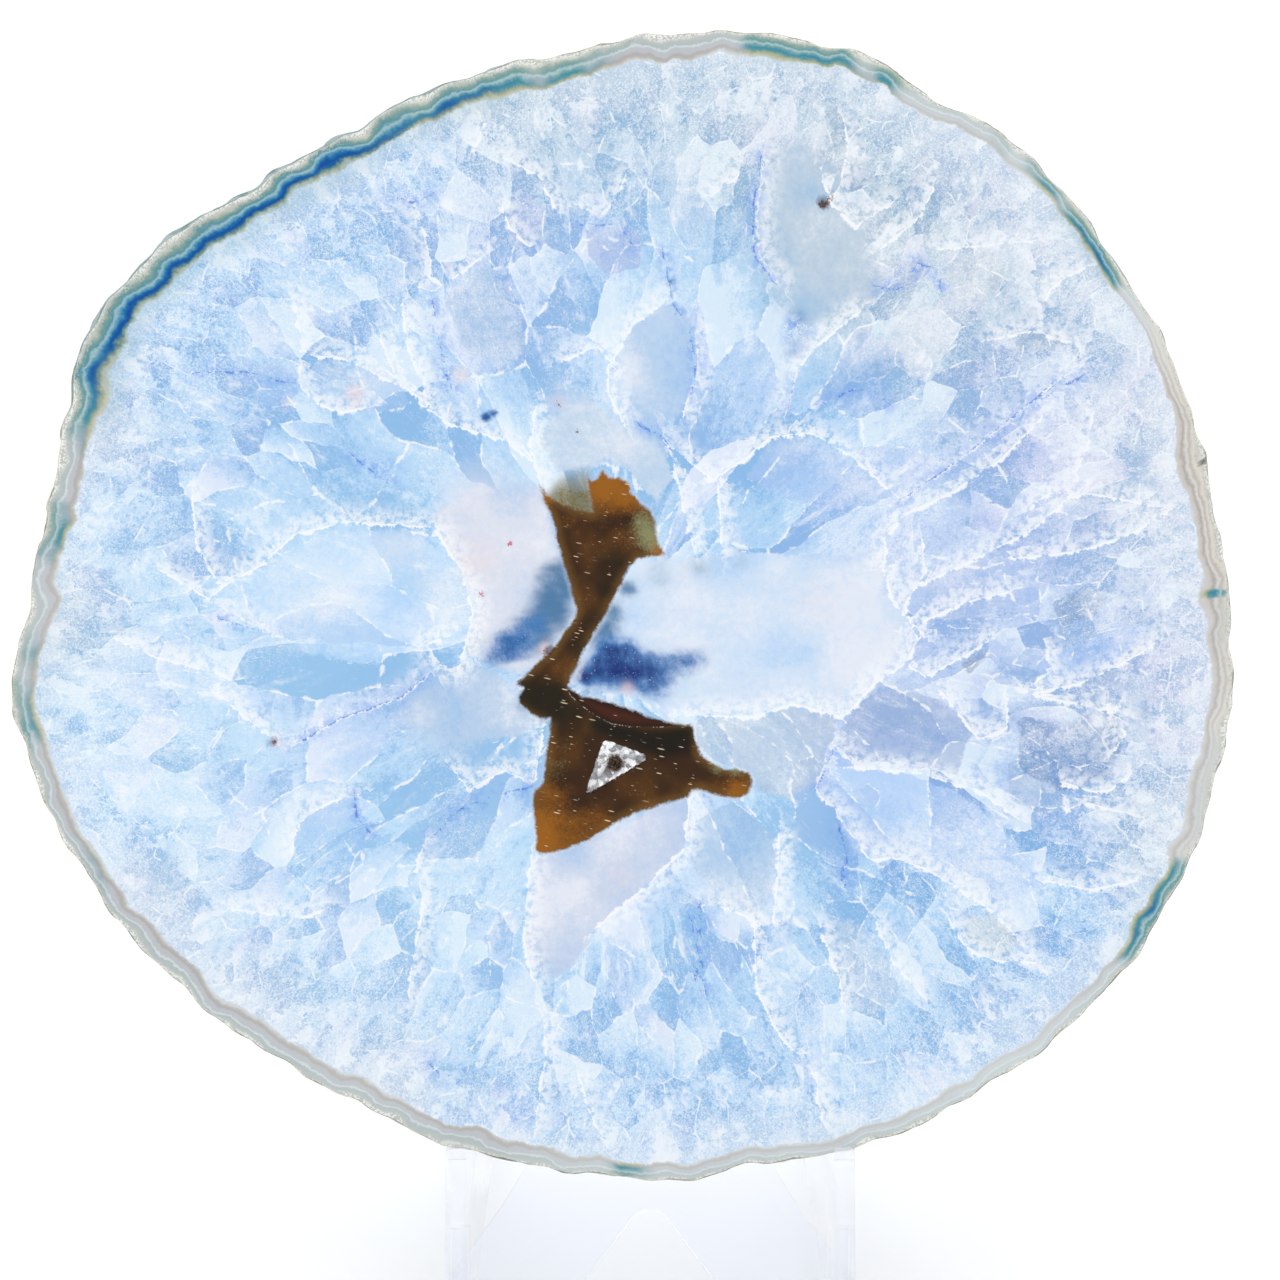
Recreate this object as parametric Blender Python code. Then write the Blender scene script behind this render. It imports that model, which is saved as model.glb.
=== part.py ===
"""Sawn and polished slice of a quartz-filled agate nodule, standing on a clear three-piece easel.

The slice is one solid with a natural, lumpy rind round its edge, a crystal-lined pocket near its
middle and a few small pits. It leans back on the easel: two side plates stand on the table and
carry its rim, and an A-shaped back plate with an inverted V notch passes through them.

Metres, +Z up, the table at z = 0, the polished front facing -Y. Slice coordinates are u to the
right, v up the slope and w out of the front face, from the middle of the slice.
"""

import math

import bmesh
import bpy
from mathutils import Matrix, Vector

MM = 0.001

# Slice
SLICE_THICKNESS = 7.5 * MM
SLICE_CENTRE_HEIGHT = 114.5 * MM
LEAN = math.radians(12)
POLISHED_EDGE = 0.45 * MM
RIND_BULGE = 0.35 * MM
RIND_SKEW = 0.3 * MM
RIND_SKEW_UPPER_LEFT = 1.1 * MM
SKEW_DIRECTION = math.radians(137)
SKEW_SPREAD = math.radians(34)
STEPS_ROUND_RIM = 216
RIM_LEVELS = (0.0, 0.06, 0.28, 0.5, 0.72, 0.94, 1.0)

# Outline of the front face: direction in degrees and radius in millimetres
OUTLINE = (
    (0, 94.1), (12, 93.0), (24, 93.4), (36, 93.2), (48, 94.1), (60, 92.4), (66, 93.4),
    (72, 92.3), (84, 89.6), (96, 86.3), (108, 85.7), (120, 85.0), (132, 86.9), (144, 91.8),
    (151, 93.0), (156, 93.3), (161, 91.4), (168, 90.7), (180, 92.5), (186, 95.5), (192, 96.0),
    (204, 94.0), (216, 91.9), (228, 89.6), (240, 87.8), (252, 88.3), (264, 88.4), (276, 89.8),
    (284, 89.4), (294, 92.0), (306, 93.5), (318, 95.5), (330, 96.5), (342, 96.1), (354, 95.2),
)
# Scallops along the rim: waves per turn, height in millimetres, phase
SCALLOPS = ((29, 0.24, 0.4), (53, 0.17, 1.9), (88, 0.12, 4.1))
# Lumps of the rind: waves per turn, waves across the edge, height in millimetres, phase
RIND_LUMPS = ((61, 0.8, 0.16, 0.7), (97, 1.3, 0.12, 2.2), (37, 0.5, 0.14, 5.0))

# Crystal-lined pocket, its corners in millimetres in the plane of the slice
POCKET_CORNERS = ((-3.1, -20.8), (4.2, -23.5), (-6.3, -29.7))
POCKET_DEPTH = 5.4 * MM
POCKET_FLOOR_SCALE = 0.6
POCKET_EDGE_STEPS = 4
CRUST_GAP_SCALE = 0.85
CRUST_TOP_DROP = 0.2 * MM
CRUST_UNDERSIDE_GAP = 0.4 * MM
CRUST_HOLLOW_DEPTH = 3.6 * MM
CRUST_HOLLOW_POWER = 2.2
CRUST_WAIST_SCALE = 0.82
CRUST_WAIST_DROP = 0.55
CRUST_RIM_SHARE = 1 / 6
CRUST_RINGS = 12
CRYSTAL_COUNT = 34
CRYSTAL_RADIUS = 0.95 * MM
CRYSTAL_RADIUS_SPREAD = 0.3
CRYSTAL_HEIGHT = 1.5 * MM
CRYSTAL_HEIGHT_SPREAD = 0.25
# Radians from one crystal to the next, in its place, size, height and turn
GOLDEN_ANGLE = math.radians(137.508)
SIZE_STEP = 5.1
HEIGHT_STEP = 3.3
TURN_STEP = 1.7

# Small open pits: centre in the plane of the slice, radius and depth, all in millimetres
PITS = (
    (30.9, 62.4, 1.15, 1.5),
    (-54.6, -21.2, 0.9, 1.2),
    (90.3, 22.3, 0.6, 1.3),
    (-11.6, -7.0, 0.8, 1.1),
)
PIT_SIDES = 5
PIT_MOUTH_SCALE = 1.3
PIT_FLOOR_SCALE = 0.45
PIT_UNEVENNESS = 0.25
CUTTER_PROUD = 1.0 * MM

# Easel
PLATE = 3.0 * MM
FIT_GAP = 0.3 * MM
EASEL_OFFSET = 4.0 * MM
SIDE_PLATE_SPACING = 60.0 * MM
# Half outline of the back plate in the plane of the slice, top to foot to notch, in millimetres
BACK_PLATE_HALF = (
    (9.0, 12.0), (12.5, -30.0), (17.8, -86.0), (23.1, -94.8), (32.2, -107.2), (34.0, -111.0),
    (34.0, -122.0), (21.6, -122.0), (1.8, -95.9),
)
BACK_PLATE_TOP_RISE = 3.0 * MM
LIP_HEIGHT = 2.2 * MM
LIP_THICKNESS = 2.6 * MM
SEAT_CLEARANCE = 0.6 * MM
SEAT_REAR = 5.0 * MM
TOE_LENGTH = 9.0 * MM
TAIL_END = 58.0 * MM
TAIL_HEIGHT = 8.0 * MM
TAIL_NOSE_HEIGHT = 4.8 * MM
SLOT_TOP = -98.5 * MM
SLOT_FOOT_SPARE = 4.0 * MM
CORNER_ROUND = 1.2 * MM
SMALL_CORNER_ROUND = 0.6 * MM
CORNER_EDGE_SHARE = 0.4
CORNER_STEPS = 3


def clear_scene():
    """Remove what the file opened with."""
    for thing in list(bpy.data.objects):
        bpy.data.objects.remove(thing, do_unlink=True)


def material(name, colour, roughness, transmission=0.0, ior=1.5):
    """A plain finish for one sub-part."""
    made = bpy.data.materials.new(name)
    made.use_nodes = True
    shader = made.node_tree.nodes["Principled BSDF"]
    shader.inputs["Base Color"].default_value = (*colour, 1.0)
    shader.inputs["Roughness"].default_value = roughness
    shader.inputs["Metallic"].default_value = 0.0
    shader.inputs["Transmission Weight"].default_value = transmission
    shader.inputs["IOR"].default_value = ior
    return made


def object_from(name, mesh_tool, finish, placed=None):
    """Link an object holding the mesh, with every face turned outwards."""
    bmesh.ops.recalc_face_normals(mesh_tool, faces=mesh_tool.faces)
    mesh = bpy.data.meshes.new(name)
    mesh_tool.to_mesh(mesh)
    mesh_tool.free()
    mesh.materials.append(finish)
    thing = bpy.data.objects.new(name, mesh)
    bpy.context.scene.collection.objects.link(thing)
    if placed is not None:
        thing.matrix_world = placed
    return thing


def loft(rings):
    """A closed body through rings of equal length, each a list of points, capped at both ends."""
    tool = bmesh.new()
    loops = [[tool.verts.new(point) for point in ring] for ring in rings]
    count = len(rings[0])
    for near, far in zip(loops, loops[1:]):
        for i in range(count):
            j = (i + 1) % count
            tool.faces.new((near[i], near[j], far[j], far[i]))
    tool.faces.new(loops[0])
    tool.faces.new(list(reversed(loops[-1])))
    return tool


def cut(thing, cutter):
    """Take the cutter's shape out of an object, now, and remove the cutter."""
    tool = thing.modifiers.new("cut", "BOOLEAN")
    tool.operation = "DIFFERENCE"
    tool.object = cutter
    bpy.context.view_layer.update()
    evaluated = thing.evaluated_get(bpy.context.evaluated_depsgraph_get())
    mesh = bpy.data.meshes.new_from_object(evaluated)
    thing.modifiers.clear()
    thing.data = mesh
    bpy.data.objects.remove(cutter, do_unlink=True)


# Slice


def front_radius(angle):
    """Radius of the front face in one direction: a smooth closed curve through OUTLINE."""
    degrees = math.degrees(angle) % 360.0
    count = len(OUTLINE)
    last = max(i for i in range(count) if OUTLINE[i][0] <= degrees)
    knots = []
    for step in (-1, 0, 1, 2):
        turn, index = divmod(last + step, count)
        knots.append((OUTLINE[index][0] + 360.0 * turn, OUTLINE[index][1]))
    (a0, r0), (a1, r1), (a2, r2), (a3, r3) = knots
    span = a2 - a1
    t = (degrees - a1) / span
    slope1 = (r2 - r0) / (a2 - a0) * span
    slope2 = (r3 - r1) / (a3 - a1) * span
    smooth = (
        r1 * (2 * t**3 - 3 * t**2 + 1)
        + slope1 * (t**3 - 2 * t**2 + t)
        + r2 * (3 * t**2 - 2 * t**3)
        + slope2 * (t**3 - t**2)
    )
    scallop = sum(h * math.sin(n * angle + p) for n, h, p in SCALLOPS)
    return (smooth + scallop) * MM


def rim_radius(angle, level):
    """Radius of the edge at a level from 0, the front face, to 1, the back face."""
    turned = (angle - SKEW_DIRECTION + math.pi) % math.tau - math.pi
    skew = RIND_SKEW + RIND_SKEW_UPPER_LEFT * math.exp(-((turned / SKEW_SPREAD) ** 2))
    lumps = sum(
        h * MM * math.sin(n * angle + p) * math.cos(math.tau * across * level + p)
        for n, across, h, p in RIND_LUMPS
    )
    body = math.sin(math.pi * level)
    polished = POLISHED_EDGE if level in (0.0, 1.0) else 0.0
    return front_radius(angle) + skew * level + (RIND_BULGE + lumps) * body - polished


def rim_ring(level):
    """The points of the slice's edge at one level."""
    w = SLICE_THICKNESS * (0.5 - level)
    ring = []
    for i in range(STEPS_ROUND_RIM):
        angle = math.tau * i / STEPS_ROUND_RIM
        radius = rim_radius(angle, level)
        ring.append(Vector((radius * math.cos(angle), radius * math.sin(angle), w)))
    return ring


def pocket_outline():
    """The pocket's rounded triangle: its sides in steps, with the corners cut off twice."""
    corners = [Vector(corner) * MM for corner in POCKET_CORNERS]
    points = [
        start.lerp(end, step / POCKET_EDGE_STEPS)
        for start, end in zip(corners, corners[1:] + corners[:1])
        for step in range(POCKET_EDGE_STEPS)
    ]
    for _ in range(2):
        points = [
            start.lerp(end, share)
            for start, end in zip(points, points[1:] + points[:1])
            for share in (0.25, 0.75)
        ]
    return points


def middle_of(points):
    """The mean of some points."""
    return sum(points, Vector((0.0, 0.0))) / len(points)


def scaled_ring(outline, scale, w):
    """An outline drawn in towards its middle, at a height above the slice's middle plane."""
    centre = middle_of(outline)
    return [(centre + (point - centre) * scale).to_3d() + Vector((0, 0, w)) for point in outline]


def pocket_cutter(finish, placed):
    """The pocket's space, a little proud of the front face."""
    top = SLICE_THICKNESS / 2
    outline = pocket_outline()
    slope = (1 - POCKET_FLOOR_SCALE) / POCKET_DEPTH
    rings = [
        scaled_ring(outline, 1 + slope * CUTTER_PROUD, top + CUTTER_PROUD),
        scaled_ring(outline, POCKET_FLOOR_SCALE, top - POCKET_DEPTH),
    ]
    return object_from("pocket_space", loft(rings), finish, placed)


def pit_cutter(pit, finish, placed):
    """A small pit's space: a blunt cone with a few uneven sides."""
    u, v, radius, depth = (value * MM for value in pit)
    top = SLICE_THICKNESS / 2
    rings = []
    for w, scale in ((top + CUTTER_PROUD, PIT_MOUTH_SCALE), (top - depth, PIT_FLOOR_SCALE)):
        ring = []
        for i in range(PIT_SIDES):
            angle = math.tau * i / PIT_SIDES + u / MM
            uneven = 1.0 + PIT_UNEVENNESS * math.sin(2.0 * angle + v / MM)
            reach = radius * scale * uneven
            ring.append(Vector((u + reach * math.cos(angle), v + reach * math.sin(angle), w)))
        rings.append(ring)
    return object_from("pit_space", loft(rings), finish, placed)


def agate_slice(finish, placed):
    """The slice itself, with its pocket and pits cut out of the front face."""
    slab = loft([rim_ring(level) for level in RIM_LEVELS])
    thing = object_from("agate_slice", slab, finish, placed)
    cut(thing, pocket_cutter(finish, placed))
    for pit in PITS:
        cut(thing, pit_cutter(pit, finish, placed))
    return thing


# Crystal crust in the pocket


def hexagon_distance(offset, turn):
    """Distance from a crystal's axis to the six-sided outline that passes through a point."""
    angle = math.atan2(offset.y, offset.x) - turn
    sector = math.pi / 3
    folded = (angle + sector / 2) % sector - sector / 2
    return offset.length * math.cos(folded)


def hollow_height(share):
    """Depth of the bare hollow, at a share of the way from its middle to its edge."""
    return -CRUST_HOLLOW_DEPTH * (1.0 - share**CRUST_HOLLOW_POWER)


def crust_height(point, share, outline):
    """Depth of the crust's upper surface: a hollow whose walls are set with six-sided points."""
    height = hollow_height(share)
    centre = middle_of(outline)
    for k in range(CRYSTAL_COUNT):
        reach = math.sqrt((k + 0.5) / CRYSTAL_COUNT)
        seat = outline[int(k * GOLDEN_ANGLE / math.tau * len(outline)) % len(outline)]
        crystal = centre + (seat - centre) * reach * CRUST_GAP_SCALE
        spread = CRYSTAL_RADIUS_SPREAD
        radius = CRYSTAL_RADIUS * (1.0 - spread + spread * math.sin(SIZE_STEP * k))
        apart = hexagon_distance(point - crystal, TURN_STEP * k) / radius
        spread = CRYSTAL_HEIGHT_SPREAD
        tall = CRYSTAL_HEIGHT * (1.0 - spread + spread * math.cos(HEIGHT_STEP * k))
        height = max(height, hollow_height(reach) + tall * (1.0 - apart))
    return min(height, 0.0) * min(1.0, (1.0 - share) / CRUST_RIM_SHARE)


def pocket_crystals(finish, placed):
    """The crust of small crystals that lines the pocket, one closed body clear of the walls."""
    outline = pocket_outline()
    centre = middle_of(outline)
    top = SLICE_THICKNESS / 2 - CRUST_TOP_DROP
    floor = SLICE_THICKNESS / 2 - POCKET_DEPTH + CRUST_UNDERSIDE_GAP
    tool = bmesh.new()
    loops = []
    for ring in range(1, CRUST_RINGS + 1):
        share = ring / CRUST_RINGS
        loop = []
        for point in outline:
            place = centre + (point - centre) * share * CRUST_GAP_SCALE
            w = top + crust_height(place, share, outline)
            loop.append(tool.verts.new((place.x, place.y, w)))
        loops.append(loop)
    waist = top + (floor - top) * CRUST_WAIST_DROP
    for scale, w in ((CRUST_WAIST_SCALE, waist), (POCKET_FLOOR_SCALE, floor)):
        ring = scaled_ring(outline, scale * CRUST_GAP_SCALE, w)
        loops.append([tool.verts.new(point) for point in ring])
    count = len(outline)
    for near, far in zip(loops, loops[1:]):
        for i in range(count):
            j = (i + 1) % count
            tool.faces.new((near[i], far[i], far[j]))
            tool.faces.new((near[i], far[j], near[j]))
    peak = tool.verts.new((centre.x, centre.y, top + crust_height(centre, 0.0, outline)))
    for i in range(count):
        tool.faces.new((loops[0][i], loops[0][(i + 1) % count], peak))
    tool.faces.new(loops[-1])
    return object_from("pocket_crystals", tool, finish, placed)


# Easel


def side_point(w, v):
    """A point of the slice's section, as y and z above the table."""
    y = v * math.sin(LEAN) - w * math.cos(LEAN)
    z = SLICE_CENTRE_HEIGHT + v * math.cos(LEAN) + w * math.sin(LEAN)
    return Vector((y, z))


def plate_body(outline, to_space):
    """An outline extruded to the plate's thickness; to_space places a point and its depth."""
    near = [to_space(point, 0.0) for point in outline]
    far = [to_space(point, PLATE) for point in outline]
    return loft([near, far])


def rounded(points, radius):
    """An outline with each corner replaced by a short arc-like curve."""
    smooth = []
    count = len(points)
    for i, corner in enumerate(points):
        before = points[i - 1]
        after = points[(i + 1) % count]
        back = min(radius, (before - corner).length * CORNER_EDGE_SHARE)
        forth = min(radius, (after - corner).length * CORNER_EDGE_SHARE)
        start = corner + (before - corner).normalized() * back
        end = corner + (after - corner).normalized() * forth
        for step in range(CORNER_STEPS + 1):
            t = step / CORNER_STEPS
            smooth.append(start.lerp(corner, t).lerp(corner.lerp(end, t), t))
    return smooth


def flatten_foot(thing):
    """Cut an object off flat at the table."""
    tool = bmesh.new()
    tool.from_mesh(thing.data)
    tool.transform(thing.matrix_world)
    everything = tool.verts[:] + tool.edges[:] + tool.faces[:]
    cutting = bmesh.ops.bisect_plane(
        tool, geom=everything, plane_co=(0, 0, 0), plane_no=(0, 0, 1), clear_inner=True
    )
    edges = [piece for piece in cutting["geom_cut"] if isinstance(piece, bmesh.types.BMEdge)]
    bmesh.ops.holes_fill(tool, edges=edges, sides=0)
    bmesh.ops.recalc_face_normals(tool, faces=tool.faces)
    tool.transform(thing.matrix_world.inverted())
    tool.to_mesh(thing.data)
    tool.free()


def easel_back(finish, placed):
    """The A-shaped back plate: it leans with the slice and stands on its two splayed feet."""
    half = [Vector(point) * MM for point in BACK_PLATE_HALF]
    crown = Vector((0.0, half[0].y + BACK_PLATE_TOP_RISE))
    mirrored = [Vector((-point.x, point.y)) for point in reversed(half)]
    outline = rounded([crown, *half, *mirrored], CORNER_ROUND)
    face = -SLICE_THICKNESS / 2 - FIT_GAP - PLATE

    def to_space(point, depth):
        return Vector((point.x + EASEL_OFFSET, point.y, face + depth))

    thing = object_from("easel_back", plate_body(outline, to_space), finish, placed)
    flatten_foot(thing)
    return thing


def seat_level():
    """The highest seat, in v, that clears the rim above both side plates."""
    lowest = 0.0
    for level in RIM_LEVELS:
        for point in rim_ring(level):
            for side in (-1, 1):
                middle = EASEL_OFFSET + side * SIDE_PLATE_SPACING / 2
                if point.y < 0 and abs(point.x - middle) < PLATE:
                    lowest = min(lowest, point.y)
    return lowest - FIT_GAP


def easel_side(name, side, finish):
    """A side plate: toe, low lip, seat for the rim and a long tail, with a slot for the back plate."""
    seat = seat_level()
    front = SLICE_THICKNESS / 2 + RIND_SKEW + SEAT_CLEARANCE
    lip_outer = side_point(front + LIP_THICKNESS, seat + LIP_HEIGHT)
    seat_back = side_point(-SLICE_THICKNESS / 2 - SEAT_REAR, seat)
    outline = rounded(
        [
            Vector((lip_outer.x - TOE_LENGTH, 0.0)),
            lip_outer,
            side_point(front, seat + LIP_HEIGHT),
            side_point(front, seat),
            seat_back,
            Vector((TAIL_END - TAIL_HEIGHT, TAIL_HEIGHT)),
            Vector((TAIL_END, TAIL_NOSE_HEIGHT)),
            Vector((TAIL_END, 0.0)),
        ],
        SMALL_CORNER_ROUND,
    )
    inner = EASEL_OFFSET + side * SIDE_PLATE_SPACING / 2 - PLATE / 2

    def to_space(point, depth):
        return Vector((inner + depth, point.x, point.y))

    thing = object_from(name, plate_body(outline, to_space), finish)
    cut(thing, slot_cutter(inner, finish))
    return thing


def slot_cutter(inner, finish):
    """The slanted slot, open at the table, that the back plate's foot passes through."""
    near = -SLICE_THICKNESS / 2
    far = near - PLATE - 2 * FIT_GAP
    foot = -SLICE_CENTRE_HEIGHT / math.cos(LEAN) - SLOT_FOOT_SPARE
    section = [(near, SLOT_TOP), (far, SLOT_TOP), (far, foot), (near, foot)]
    rings = []
    for x in (inner - CUTTER_PROUD, inner + PLATE + CUTTER_PROUD):
        ring = []
        for w, v in section:
            place = side_point(w, v)
            ring.append(Vector((x, place.x, place.y)))
        rings.append(ring)
    return object_from("slot_space", loft(rings), finish)


def centre_on_footprint(things):
    """Shift everything so that the origin is below the middle of the whole, on the table."""
    corners = [
        thing.matrix_world @ vertex.co for thing in things for vertex in thing.data.vertices
    ]
    middle_x = (min(c.x for c in corners) + max(c.x for c in corners)) / 2
    middle_y = (min(c.y for c in corners) + max(c.y for c in corners)) / 2
    shift = Matrix.Translation((-middle_x, -middle_y, 0.0))
    for thing in things:
        thing.matrix_world = shift @ thing.matrix_world


def main():
    clear_scene()
    stone = material("agate", (0.62, 0.78, 0.93), 0.12, transmission=0.1, ior=1.54)
    quartz = material("quartz_crystal", (0.86, 0.88, 0.90), 0.15, transmission=0.3, ior=1.54)
    acrylic = material("clear_acrylic", (0.93, 0.95, 1.0), 0.03, transmission=1.0, ior=1.49)
    leaning = Matrix.Translation((0.0, 0.0, SLICE_CENTRE_HEIGHT)) @ Matrix.Rotation(
        math.pi / 2 - LEAN, 4, "X"
    )
    things = [
        agate_slice(stone, leaning),
        pocket_crystals(quartz, leaning),
        easel_back(acrylic, leaning),
        easel_side("easel_side_left", -1, acrylic),
        easel_side("easel_side_right", 1, acrylic),
    ]
    centre_on_footprint(things)


main()
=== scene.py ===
"""Looks of a polished agate slice on its clear easel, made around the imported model.

The stone is one closed surface worked out with numpy: a polished front, a rough rind and a sawn
back. Its material is drawn in slice coordinates, in millimetres: u to the right, v up the slope
and w out of the polished front, from the middle of the slice. Outlines that are named in pixels
of the reference picture are turned into slice coordinates by from_photo.
"""

import math

import bmesh
import bpy
import numpy as np
from bpy.props import FloatProperty, FloatVectorProperty, IntProperty, PointerProperty
from mathutils import Euler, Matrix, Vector


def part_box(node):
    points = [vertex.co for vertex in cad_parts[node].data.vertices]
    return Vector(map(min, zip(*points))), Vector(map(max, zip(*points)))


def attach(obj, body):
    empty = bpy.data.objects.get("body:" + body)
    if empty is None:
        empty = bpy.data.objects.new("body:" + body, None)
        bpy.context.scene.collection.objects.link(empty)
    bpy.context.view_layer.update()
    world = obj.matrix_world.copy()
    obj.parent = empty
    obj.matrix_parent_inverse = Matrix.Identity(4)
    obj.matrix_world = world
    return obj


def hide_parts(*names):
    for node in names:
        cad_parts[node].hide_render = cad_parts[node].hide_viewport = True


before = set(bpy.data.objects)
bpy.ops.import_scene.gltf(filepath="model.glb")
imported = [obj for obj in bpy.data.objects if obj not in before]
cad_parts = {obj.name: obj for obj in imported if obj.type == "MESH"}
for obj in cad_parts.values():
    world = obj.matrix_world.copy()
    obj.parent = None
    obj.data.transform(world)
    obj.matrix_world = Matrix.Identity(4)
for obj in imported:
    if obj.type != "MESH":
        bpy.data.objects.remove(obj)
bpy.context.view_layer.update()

bl_info = {
    "name": "Agate Slice on Easel",
    "version": (1, 0, 0),
    "blender": (4, 5, 0),
    "location": "View3D > Sidebar > Agate",
    "description": "Makes a dyed agate slice with a crystal pocket, its clear easel and a pale stage",
    "category": "Object",
}

MM = 0.001

# The slice as it is built, its lengths in millimetres
LEAN = math.radians(12)
THICKNESS = 7.5
POLISHED_EDGE = 0.45
RIND_BULGE = 0.35
RIND_SKEW = 0.3
RIND_SKEW_UPPER_LEFT = 1.1
SKEW_DIRECTION = math.radians(137)
SKEW_SPREAD = math.radians(34)
# Outline of the front face: direction in degrees and radius in millimetres
OUTLINE = (
    (0, 94.1), (12, 93.0), (24, 93.4), (36, 93.2), (48, 94.1), (60, 92.4), (66, 93.4),
    (72, 92.3), (84, 89.6), (96, 86.3), (108, 85.7), (120, 85.0), (132, 86.9), (144, 91.8),
    (151, 93.0), (156, 93.3), (161, 91.4), (168, 90.7), (180, 92.5), (186, 95.5), (192, 96.0),
    (204, 94.0), (216, 91.9), (228, 89.6), (240, 87.8), (252, 88.3), (264, 88.4), (276, 89.8),
    (284, 89.4), (294, 92.0), (306, 93.5), (318, 95.5), (330, 96.5), (342, 96.1), (354, 95.2),
)
# Scallops: waves per turn, height, phase. Lumps: waves per turn, waves across, height, phase
SCALLOPS = ((29, 0.24, 0.4), (53, 0.17, 1.9), (88, 0.12, 4.1))
RIND_LUMPS = ((61, 0.8, 0.16, 0.7), (97, 1.3, 0.12, 2.2), (37, 0.5, 0.14, 5.0))
POCKET_CORNERS = ((-3.1, -20.8), (4.2, -23.5), (-6.3, -29.7))
POCKET_SIDE_STEPS = 4
POCKET_DEPTH = 5.4
# Small open pits: u, v, radius and depth
PITS = (
    (30.9, 62.4, 1.15, 1.5),
    (-54.6, -21.2, 0.9, 1.2),
    (90.3, 22.3, 0.6, 1.3),
    (-11.6, -7.0, 0.8, 1.1),
)

# The crust of crystals in the pocket: lengths in millimetres, the hole's middle in picture pixels
POCKET_STEPS = 160
POCKET_RINGS = 52
POCKET_OVERLAP = 0.3
POCKET_HOLLOW = 2.6
POCKET_DROP = 0.35
POCKET_HOLE = (615, 764)
POCKET_HOLE_RADIUS = 1.15
POCKET_DISH = 0.8
# Its six-sided points: how wide, how steep, the tallest and how far the gaps between them sink
POINT_SIZES = (0.3, 0.62)
POINT_SLOPES = (0.8, 1.5)
POINT_TALLEST = 0.75
POINT_SINK = 0.1
POINT_SEED = 5
GOLDEN_TURN = math.pi * (3.0 - math.sqrt(5.0))
CRUST_TOP_GAP = 0.12
CRUST_WALL = 0.5
CRUST_LEAST_WALL = 0.3
# Shares of the way in from the crust's edge over which its dish, its hollow and its points grow
DISH_GROWTH = (0.05, 0.7)
HOLLOW_GROWTH = (0.0, 0.25)
POINT_GROWTH = (0.0, 0.14)
# Where the pocket's wall falls, by the distance inside its outline, and a pit's flat floor
POCKET_WALL = (-0.05, 1.1)
PIT_FLOOR_SHARE = 0.35
FRONT_MARGIN = 0.01

# The picture's frame: the pixel at the middle of the slice and the slice's scale there
PICTURE_MIDDLE = (624.0, 605.0)
PICTURE_SCALE = 0.1551
PICTURE_SIZE = 1280

# How fine the stone's surface is: steps round it, and rings as shares of the outline on the
# faces and of the thickness on the rim
INNER_STEPS = 440
OUTER_STEPS = 880
INNER_SHARES = np.linspace(0.0, 0.64, 113)[1:]
OUTER_SHARES = np.concatenate((
    np.linspace(0.655, 0.725, 4), np.linspace(0.735, 0.763, 7), np.linspace(0.79, 0.985, 9),
))
RIM_LEVELS = (0.03, 0.07, 0.15, 0.26, 0.38, 0.5, 0.62, 0.74, 0.85, 0.93, 0.97)
BACK_OUTER_SHARES = np.array((0.97, 0.9, 0.8, 0.71))
BACK_INNER_SHARES = np.linspace(0.64, 0.0, 37)[:-1]
# Edges sharper than these angles stay crisp
STONE_SHARP_ANGLE = math.radians(32)
PLATE_SHARP_ANGLE = math.radians(40)
MERGE_DISTANCE = 0.001 * MM

# The stage: lengths in metres, the lamp's power in watts, the camera's sensor in millimetres
WORLD_LEVEL = 1.1
FLOOR_HALF_SIZE = 3.0
FLOOR_LEVEL = -0.0003
FLOOR_COLOUR = (0.93, 0.93, 0.93)
LAMP_POWER = 6.0
LAMP_SIZE = 1.5
LAMP_PLACE = (-0.1, -0.05, 1.5)
LAMP_AIM = (0.0, 0.0, 0.1)
SENSOR_WIDTH = 36.0

# Outline of the brown chalcedony heart, in picture pixels
HEART = (
    (540, 485), (546, 494), (555, 501), (566, 505), (578, 510), (590, 513), (593, 512),
    (590, 493), (586, 472), (591, 482), (596, 480), (603, 470), (609, 478), (618, 478),
    (628, 483), (630, 494), (636, 497), (641, 505), (651, 510), (654, 518), (656, 530),
    (658, 545), (665, 554), (653, 556), (637, 559), (629, 568), (621, 584), (611, 603),
    (602, 621), (590, 639),
    (582, 655), (575, 670), (567, 686), (580, 695), (599, 700), (615, 704), (634, 710),
    (650, 718), (671, 723), (692, 725), (695, 739), (700, 755), (712, 763), (725, 769),
    (738, 769), (748, 772), (752, 778), (752, 785), (748, 793), (739, 798), (725, 797),
    (712, 794), (699, 789), (692, 791), (685, 798), (671, 802), (650, 808), (634, 813),
    (612, 825), (588, 840), (564, 850), (540, 854), (536, 850), (536, 837), (534, 817),
    (533, 798), (534, 791), (542, 785), (545, 770), (547, 750), (550, 730), (551, 718),
    (540, 718), (532, 714), (520, 703), (518, 698), (524, 688), (517, 684), (524, 676),
    (540, 660), (552, 651), (563, 635), (572, 623), (577, 612), (574, 600), (570, 585),
    (566, 570), (562, 557), (558, 544), (555, 528), (551, 514), (544, 500),
)
RED_FACET = (
    (566, 688), (580, 692), (599, 700), (634, 710), (690, 724), (662, 727), (634, 727),
    (612, 724), (596, 716), (582, 706), (571, 696),
)
BLACK_WEDGE = (
    (596, 722), (640, 730), (692, 727), (693, 742), (688, 752), (664, 756), (640, 748), (612, 738),
)
OLIVE_VEIL = ((544, 500), (554, 484), (566, 472), (587, 464), (602, 520), (560, 522))
# Picture rows at which the veil is clear and solid, its soft edge in millimetres, and how
# strong it is at most
OLIVE_VEIL_FADE = (463, 494)
OLIVE_VEIL_EDGE = (-0.7, 1.3)
OLIVE_VEIL_STRENGTH = 0.9
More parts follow.
